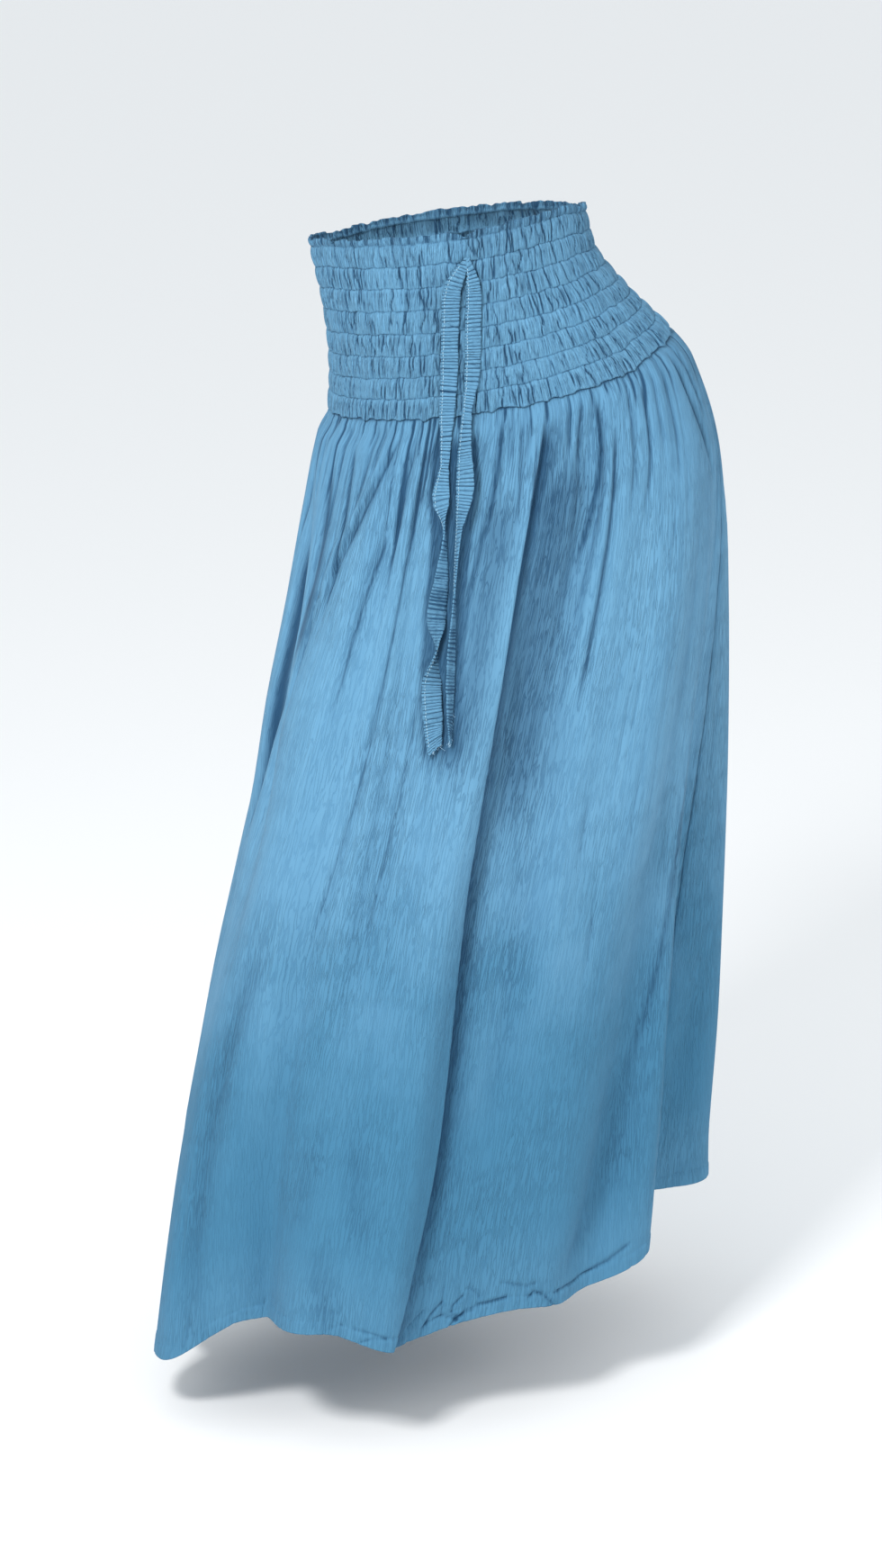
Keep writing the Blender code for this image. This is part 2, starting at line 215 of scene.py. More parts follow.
def makeTie(name, points, seed, endSlant):
    draw = np.random.default_rng(seed)
    run, route = smoothRoute(points, tie["rows"])
    along, across, out = tieFrame(route)
    length = run[-1]
    a = np.linspace(-1, 1, tie["across"])
    s = run[:, None] + 0 * a
    # fine pleats cross the tie, uneven in pitch and a little slanted
    pitch = np.cumsum(1 + 0.32 * wander(run, length, (9, 14, 23, 31), draw)) * (run[1] / tie["pleat"])
    slant = 0.25 + 0.35 * wander(run, length, (2, 5, 7), draw)
    size = 0.75 + 0.3 * wander(run, length, (7, 12, 19, 33), draw)
    pleats = np.sin(2 * math.pi * (pitch[:, None] + slant[:, None] * a * 0.5)) * size[:, None]
    relief = tie["pleatRelief"] * pleats * (1 - 0.45 * a**2)
    deep = np.zeros_like(relief)
    for place in np.cumsum(draw.uniform(4, 17, int(length / 9))):
        lean, size = draw.normal(0.3, 1.1), draw.uniform(0.3, 0.75)
        start, end = draw.uniform(-1.4, 0.2), draw.uniform(0.1, 1.5)
        window = fadeInOut(a, start - 0.3, start + 0.2, end - 0.2, end + 0.3)
        deep += size * window * bell((s - place - lean * a) / 0.75)
    relief -= deep
    # a raised fold along one edge, and a stitched channel just inside it
    relief += 0.35 * bell((np.abs(a) - 0.93) / 0.1)
    relief -= 0.3 * bell((a - tie["stitchEdge"]) / 0.09)
    half = tie["width"] / 2 * route[:, 4]
    edge = half + 0.3 * wander(run, length, (11, 17, 29, 43, 61), draw)
    cut = endSlant * (a + 1) / 2 * ease(length - 32, length, s)
    cut = cut + ease(length - 5, length, s) * 0.8 * np.sin(a * 9 + seed)
    points3 = (route[:, None, :3] + across[:, None] * (edge[:, None] * a)[..., None]
               + out[:, None] * relief[..., None] - along[:, None] * cut[..., None])
    chart = np.stack([a * tie["width"] / 2 + 0 * s, s], -1)
    # painted shade: the pleats' grooves and the deeper cross folds are darker in colour
    creaseShade = np.clip(deep * 0.8 + 1.1 * np.clip(-pleats, 0, 1) ** 0.7, 0, 1)
    weight = 1 - 0.45 * (np.abs(a) > 0.95) + 0 * s
    piece = sheetFromPoints(name, points3, chart, creaseShade, weight, tie["thickness"], 0)
    stitches = []
    ticks = np.arange(12, length - 8, tie["stitchPitch"])
    for tick in ticks + draw.normal(0, 0.18, len(ticks)):
        i = int(np.searchsorted(run, tick))
        side = edge[i] * (tie["stitchEdge"] + draw.normal(0, 0.012))
        middle = route[i, :3] + across[i] * side + out[i] * (tie["thickness"] / 2 + 0.12)
        step = along[i] * draw.uniform(0.78, 1.0)
        tail = out[i] * 0.35
        stitches.append([(middle - step - tail, 0.5), (middle - step * 0.5, 1), (middle + step * 0.5, 1),
                         (middle + step - tail, 0.5)])
    return piece, stitches, (run, route, along, across, out, edge)


def frayLines(shape, seed, edges, count, reach, endSlant):
    # loose threads that stand out of a raw end or a raw edge
    draw = np.random.default_rng(seed)
    run, route, along, across, out, edge = shape
    lines = []
    for k in range(count):
        if k % 3 and edges:
            i = len(run) - 1 - int(draw.uniform(2, 60))
            root = route[i, :3] - across[i] * edge[i] * draw.uniform(0.85, 1)
            way = unit(-across[i] * draw.uniform(0.4, 1) + along[i] * draw.uniform(0.2, 1.2)
                       + out[i] * draw.uniform(-0.2, 0.6))
        else:
            i = len(run) - 1
            a = draw.uniform(-0.95, 0.95)
            root = route[i, :3] + across[i] * edge[i] * a - along[i] * (endSlant * (a + 1) / 2 + 1)
            way = unit(along[i] + across[i] * draw.normal(0, 0.35) + out[i] * draw.normal(0.1, 0.2))
        curl = across[i] * draw.normal(0, 0.5) + out[i] * draw.normal(0.1, 0.3)
        size = reach * draw.uniform(0.45, 1)
        lines.append([(root + way * size * t + curl * size * t * t * 0.6, 1 - 0.6 * t)
                      for t in (0, 0.25, 0.5, 0.75, 1)])
    return lines


print("tie")
tieLeft, stitchesLeft, shapeLeft = makeTie("waistTieLeft", tie["left"], 11, 10)
tieRight, stitchesRight, shapeRight = makeTie("waistTieRight", tie["right"], 12, 3)
stitchingLeft = threadsFromLines("tieStitchesLeft", stitchesLeft, tie["stitchRadius"])
stitchingRight = threadsFromLines("tieStitchesRight", stitchesRight, tie["stitchRadius"])
frayLeft = threadsFromLines("tieFrayLeft", frayLines(shapeLeft, 21, False, 13, 6, 10),
                            tie["frayRadius"])
frayRight = threadsFromLines("tieFrayRight", frayLines(shapeRight, 22, True, 42, 4.5, 3),
                             tie["frayRadius"])

# rings through the garment, as in the solids: down, drop, left, right, middle, front, back,
# swing, rise, dip
rings = np.array([
    (0, -5, -121, 122, 17, 90, 88, 0, 16, 4), (7, 2, -120, 123, 17, 90, 88, 0, 16, 4),
    (46, 38, -112, 133, 17, 95, 95, 0, 18, 5), (85, 73, -106, 156, 15, 102, 106, 0, 23, 6),
    (124, 105, -104, 180, 13, 109, 117, 0, 30, 7), (163, 136, -107, 209, 11, 116, 126, 0, 34, 8),
    (180, 153, -116, 221, 11, 124, 133, 2, 34, 8), (248, 220, -130, 244, 9, 138, 146, 10, 35, 8),
    (334, 304, -146, 255, 6, 152, 155, 20, 36, 7), (420, 388, -164, 257, 2, 168, 160, 30, 36, 6),
    (505, 471, -178, 256, -5, 182, 165, 40, 36, 5), (590, 555, -197, 253, -13, 196, 170, 50, 36, 4),
    (675, 639, -217, 249, -18, 208, 176, 60, 36, 3), (760, 722, -234, 247, -23, 216, 182, 70, 36, 2),
    (845, 806, -248, 245, -30, 220, 189, 78, 36, 1), (930, 889, -258, 242, -42, 222, 196, 84, 36, 0),
    (1016, 973, -266, 240, -54, 222, 203, 88, 36, 0),
], float)

# main folds of the hanging cloth, as in the solids: height, angle at the seam, a third of the
# way down and at the hem, spread to the left and right, and the shares where it begins, is
# whole and starts to fade
folds = [
    (-11, -82, -68, -60, 5, 7, 0.02, 0.15, 0.36), (16, -52, -50, -72, 15, 17, 0.05, 0.45, 1.2),
    (-9, -24, -32, -40, 5, 7, 0.02, 0.15, 0.62), (-58, -24, -32, -42, 20, 15, 0.5, 1, 1.2),
    (-9, -12, -17, -20, 3, 6, 0.02, 0.25, 0.5), (16, 19, 6, -2, 11, 5, 0.03, 0.3, 1.2),
    (-12, 27, 14, 7, 5, 12, 0.03, 0.35, 1.2), (-6, 5, 3, 0, 3, 3, 0.01, 0.04, 0.12),
    (-9, 34, 22, 18, 3, 3, 0.01, 0.06, 0.22), (8, 39, 27, 23, 3, 7, 0.03, 0.2, 0.6),
    (15, 66, 44, 30, 10, 9, 0.04, 0.3, 1.2), (-10, 70, 57, 36, 5, 5, 0.3, 0.6, 1.2),
    (26, 76, 62, 48, 9, 6, 0.15, 0.8, 1.2), (-54, 84, 72, 65, 7, 9, 0.02, 1, 1.2),
    (16, 98, 92, 84, 9, 10, 0.1, 0.8, 1.2), (-26, 112, 114, 108, 7, 8, 0.05, 0.8, 1.2),
    (14, 128, 132, 128, 9, 8, 0.05, 0.5, 1.2), (-22, 146, 148, 150, 7, 9, 0.05, 0.7, 1.2),
    (13, 163, 166, 170, 9, 7, 0.08, 0.6, 1.2), (-28, -176, -172, -168, 8, 7, 0.04, 0.8, 1.2),
    (15, -157, -154, -150, 9, 9, 0.1, 0.6, 1.2), (-24, -138, -136, -132, 7, 8, 0.05, 0.8, 1.2),
    (12, -118, -116, -113, 8, 8, 0.08, 0.5, 1.2), (-20, -101, -98, -95, 6, 7, 0.1, 0.8, 1.2),
]
hemDrop = np.array([(-180, 0), (-130, 5), (-95, 20), (-72, 24), (-50, -20), (-16, -22), (8, 12),
                    (22, 6), (34, 18), (58, -4), (80, 2), (120, 8), (180, 0)], float)
grainTurn = np.array([(-180, 8), (-110, 4), (-75, -8), (-45, -19), (19, -21), (66, -30),
                      (84, -22), (112, -4), (146, 4), (180, 8)], float)
cut = {"length": 1016, "header": 7, "rows": 8, "pitch": 19.5}
# how much higher than in the solids the seam and the waist edge lie round the garment
seamLift = np.array([(-180, 4), (-130, 6), (-90, 8), (-70, 9), (-50, 11), (-32, 11), (-20, 9), (-8, 8),
                     (5, 5), (18, 1.5), (30, 0), (50, 0.5), (60, 7), (72, 9), (90, 12), (130, 8),
                     (180, 4)], float)
rimLift = np.array([(-180, -10), (-130, -8), (-90, 0), (-60, 7), (-25, 8), (0, 8), (25, 11), (50, 11),
                    (75, 4), (90, -2), (120, -9), (180, -10)], float)
yokeLength = cut["header"] + cut["rows"] * cut["pitch"]


def tableValue(table, angle):
    place = (angle + 180) % 360 - 180
    i = np.clip(np.searchsorted(table[1:, 0], place), 0, len(table) - 2)
    low, high = table[i], table[i + 1]
    return low[..., 1] + ease(low[..., 0], high[..., 0], place) * (high[..., 1] - low[..., 1])


def ringAt(down):
    low = np.clip(np.searchsorted(rings[1:, 0], down), 0, len(rings) - 2)
    a, b = rings[np.maximum(low - 1, 0)], rings[low]
    c, d = rings[low + 1], rings[np.minimum(low + 2, len(rings) - 1)]
    span = c[..., :1] - b[..., :1]
    t = (down[..., None] - b[..., :1]) / span
    start = (c - a) / (c[..., :1] - a[..., :1]) * span
    end = (d - b) / (d[..., :1] - b[..., :1]) * span
    return b + t * start + t**2 * (3 * (c - b) - 2 * start - end) + t**3 * (2 * (b - c) + start + end)


def basePoint(angle, down):
    _, drop, left, right, middle, front, back, swing, rise, dip = np.moveaxis(ringAt(down), -1, 0)
    sine, cosine = np.sin(np.radians(angle)), np.cos(np.radians(angle))
    x = middle + np.where(sine > 0, right - middle, middle - left) * sine
    across = (2 * x - left - right) / (right - left)
    y = swing * across - np.where(cosine > 0, front, back) * cosine
    z = rise * across - dip * cosine - drop
    return np.stack([x, y, z], -1)


def clothGrid(columns, down):
    # the garment's middle surface with its main folds, at columns of cloth and places down it
    share = np.clip((down - yokeLength) / (cut["length"] - yokeLength), 0, 1)
    angle = columns + tableValue(grainTurn, columns) * share * (2 - share)
    point = basePoint(angle, down)
    along = basePoint(angle + 2, down) - basePoint(angle - 2, down)
    outward = unit(np.stack([along[..., 1], -along[..., 0], 0 * down], -1))
    height = 0
    for size, top, third, hem, left, right, begins, full, ends in folds:
        middle = (3 * top * (share - 1 / 3) * (share - 1) - 4.5 * third * share * (share - 1)
                  + 1.5 * hem * share * (share - 1 / 3))
        away = (angle - middle + 180) % 360 - 180
        spread = np.where(away < 0, left, right)
        height += (size * ease(begins, full, share) * (1 - ease(ends, ends + 0.25, share))
                   * bell(away / spread))
    point += outward * height[..., None]
    point[..., 2] -= tableValue(hemDrop, angle) * share**2
    return point


def gridNormals(point):
    # the columns close on themselves, so that both halves of a seam agree
    across = np.roll(point, -1, axis=1) - np.roll(point, 1, axis=1)
    along = np.gradient(point, axis=0)
    return unit(np.cross(along, across))


def evenColumns(counts, down):
    # cloth angles of the columns round the garment, evenly spread on each half
    columns = []
    for start, count in zip((-90, 90), counts):
        fine = np.linspace(start, start + 180, 2001)
        point = clothGrid(fine[None], np.full((1, 2001), float(down)))[0]
        run = runAlong(point)
        columns.append(np.interp(np.linspace(0, run[-1], count + 1)[:-1], run, fine))
    return np.concatenate(columns)


def arcAlong(columns, down):
    # how far round the garment each column is, in millimetres, and the whole way round
    point = clothGrid(np.append(columns, columns[0] + 360)[None],
                      np.full((1, len(columns) + 1), float(down)))[0]
    run = runAlong(point)
    return run[:-1], run[-1]


def apart(places, centre, around):
    return (places - centre + around / 2) % around - around / 2


def halves(grid, middle):
    # the front and back halves of a closed grid, which share their two edge columns
    return grid[:, :middle + 1], np.concatenate([grid[:, middle:], grid[:, :1]], axis=1)


def makeHalves(name, sizes, whole, sheets):
    # the front and back pieces; the chart of the back ends at the whole way round
    made = []
    parts = [halves(sheet, sizes["columns"][0]) for sheet in sheets]
    for side, points, chart, creaseShade, weight in zip(("Front", "Back"), *parts):
        if side == "Back":
            chart = chart.copy()
            chart[:, -1, 0] = whole
        made.append(sheetFromPoints(name + side, points, chart, creaseShade, weight, sizes["wall"]))
    return made


def underTie(point):
    # 1 where cloth lies behind the tie, so that nothing stands up into it; the hanging cloth also gets a
    # painted shadow there
    shade = np.zeros(point.shape[:2])
    for route in (tie["left"], tie["right"]):
        line = np.array(route)[::-1]
        away = np.abs(point[..., 0] - np.interp(point[..., 2], line[:, 2], line[:, 0]))
        near = (1 - ease(9, 16, away)) * (point[..., 1] < 0)
        shade = np.maximum(shade, near * ease(-450, -430, point[..., 2]) * (1 - ease(-18, -8, point[..., 2])))
    return shade


print("yoke")
yoke = {
    "seed": 31,
    "columns": (560, 440),
    "evenAt": 85,
    "levels": (0, 0.06, 0.16, 0.29, 0.42, 0.56, 0.7, 0.82, 0.91, 0.965),
    "headerLevels": (0, 0.2, 0.42, 0.64, 0.84),
    "puff": 1.9,
    "lineWave": 0.6,
    "gatherPitch": 3.5,
    "gatherSpread": 1.3,
    "gatherApart": (2.0, 8),
    "gatherDepth": (0.5, 2.5),
    "deepest": 2.9,
    "gatherWidth": (0.5, 0.95),
    "headerFlare": 1.3,
    "notch": (4, 6),
    "scallop": 3.2,
    "sidePinch": 0.9,
    "fullness": 1.6,
    "wall": 1.5,
    "flat": (0.50, 0.172),
}


def makeYoke():
    draw = np.random.default_rng(yoke["seed"])
    columns = evenColumns(yoke["columns"], yoke["evenAt"])
    count = len(columns)
    levels = [(-1, h) for h in yoke["headerLevels"]]
    levels += [(row, s) for row in range(cut["rows"]) for s in yoke["levels"]]
    levels.append((cut["rows"], 0))
    ring, around = arcAlong(columns, yoke["evenAt"])
    lines = np.array([yoke["lineWave"] * wander(ring, around, (3, 7, 13, 19, 28, 37, 46, 59), draw)
                      for _ in range(cut["rows"] + 1)])
    # the last line is gathered harder, and the cloth scallops over the seam
    lines[-1] += 0.5 * wander(ring, around, (17, 23, 31, 41), draw)
    down = np.zeros((len(levels), count))
    rise = np.zeros_like(down)
    even = np.zeros_like(down)
    creaseShade = np.zeros_like(down)
    ruffle = wander(ring, around, (31, 43, 58, 71, 86, 103, 117), draw)
    topWave = wander(ring, around, (5, 11, 19, 33, 52, 77), draw)
    s = np.array(yoke["levels"])[:, None]
    puff = np.sin(math.pi * s**0.85) ** 0.42
    at = len(yoke["headerLevels"])
    grooves = {}
    for row in range(cut["rows"]):
        arc, whole = arcAlong(columns, cut["header"] + (row + 0.5) * cut["pitch"])
        relief = np.zeros((len(s), count))
        centre = 0.0
        while centre < whole - 2:
            low, high = yoke["gatherDepth"]
            depth = low + (high - low) * draw.random() ** 1.4
            width = draw.uniform(*yoke["gatherWidth"])
            lean, bend = draw.normal(0.5, 1.2), draw.normal(0, 0.7)
            kind = draw.random()
            top = draw.uniform(0.25, 0.6) if kind < 0.16 else -0.5
            bottom = draw.uniform(0.45, 0.8) if kind > 0.78 else 1.5
            window = fadeInOut(s, top - 0.15, top + 0.15, bottom - 0.15, bottom + 0.2)
            away = apart(arc, centre, whole) - lean * (s - 0.5) - bend * np.sin(2 * math.pi * s)
            relief -= depth * window * np.exp(-np.abs(away / width) ** 1.7)
            step = draw.normal(yoke["gatherPitch"], yoke["gatherSpread"])
            centre += np.clip(step, *yoke["gatherApart"])
        relief = np.maximum(relief, -yoke["deepest"])
        patch = 1 + 0.16 * wander(arc, whole, (9, 17, 26, 38, 51), draw)
        sag = 0.55 + 0.45 * wander(arc, whole, (29, 41, 57, 73), draw)
        lip = fadeInOut(s, 0.55, 0.85, 0.93, 1)
        here = slice(at + row * len(s), at + (row + 1) * len(s))
        last = row == cut["rows"] - 1
        down[here] = (cut["header"] + (row + s) * cut["pitch"] + (1 - s) * lines[row] + s * lines[row + 1]
                      + lip * sag * (yoke["scallop"] if last else 0.8))
        even[here] = cut["header"] + (row + s) * cut["pitch"]
        rise[here] = puff * yoke["puff"] * patch + relief * (0.3 + 0.7 * puff) - 0.5 * (1 - puff)
        line = bell(s * cut["pitch"] / 0.8) + bell((1 - s) * cut["pitch"] / 0.8)
        # painted shade: the gathers' grooves are darker in colour, and so are the elastic lines
        creaseShade[here] = (np.clip(-relief / 1.7, 0, 1) ** 1.3 * (0.35 + 0.65 * puff)
                        + 0.55 * line * (0.6 + 0.4 * sag))
        grooves[row] = relief
    down[-1] = yokeLength + lines[-1]
    even[-1] = yokeLength
    rise[-1] = -0.5
    # the seam line under the last row is painted dark as its shadow
    creaseShade[-1] = 0.6
    for i, h in enumerate(yoke["headerLevels"]):
        down[i] = h * (cut["header"] + lines[0]) - (1 - h) * 0.5 * topWave
        even[i] = h * cut["header"]
        rise[i] = ((1 - h) ** 0.7 * yoke["headerFlare"] * (1 + 0.75 * ruffle)
                   + grooves[0][1] * (0.35 + 0.5 * h * (1 - h) * 4) + 0.9 * math.sin(math.pi * h))
        # painted shade in the header's grooves and under its ruffle
        creaseShade[i] = 0.3 + np.clip(-grooves[0][1] / 2, 0, 1) * 0.45 + 0.35 * np.clip(-ruffle, 0, 1)
    down = np.maximum(down, 0)
    lifted = down * (1 - tableValue(seamLift, columns) / yokeLength)
    grid = clothGrid(np.broadcast_to(columns, down.shape), lifted)
    grid[..., 2] += tableValue(rimLift, columns) * (1 - down / yokeLength).clip(0)
    depth, reach = yoke["notch"]
    notch = np.maximum(0, 1 - np.abs(apart(columns, 0, 360)) / reach)
    grid[..., 2] -= depth * notch * np.maximum(0, 1 - down / cut["header"])
    grid[0, :, 2] += 0.6 * topWave
    normal = gridNormals(grid)
    for seam in (-90, 90):
        away = apart(columns, seam, 360) * around / 360
        pinch = bell(away / 1.5)
        rise = rise - yoke["sidePinch"] * pinch
        # painted shade in the pinch at the side seam
        creaseShade = creaseShade + 0.35 * pinch
    rise = rise - underTie(grid) * np.maximum(rise - 3.2, 0)
    outside = grid + normal * (0.5 + rise)[..., None]
    chart = np.stack([np.broadcast_to(ring * yoke["fullness"], down.shape), even], -1)
    weight = 0.55 + 0.45 * (1 - ease(cut["header"] - 2, cut["header"], down))
    creaseShade = np.clip(creaseShade, 0, 1)
    return makeHalves("shirredYoke", yoke, around * yoke["fullness"], (outside, chart, creaseShade, weight))


yokeFront, yokeBack = makeYoke()

print("hanging cloth")
skirt = {
    "seed": 47,
    "columns": (520, 410),
    "evenAt": 480,
    "tuck": 1.45,
    "gatherPitch": 6.2,
    "gatherSpread": 2.6,
    "gatherApart": (2.8, 15),
    "gatherDepth": (0.4, 2.3),
    "gatherWidth": (0.8, 1.7),
    "deepest": 3.4,
    "hips": ((72, 0.5), (-76, 0.35)),
    "hipWidth": 24,
    "crinkles": 260,
    "dents": 64,
    "puckers": 150,
    "sidePinch": 0.9,
    "hemDepth": 13,
    "wall": 1.7,
    "flat": (0.88, 0.86),
}

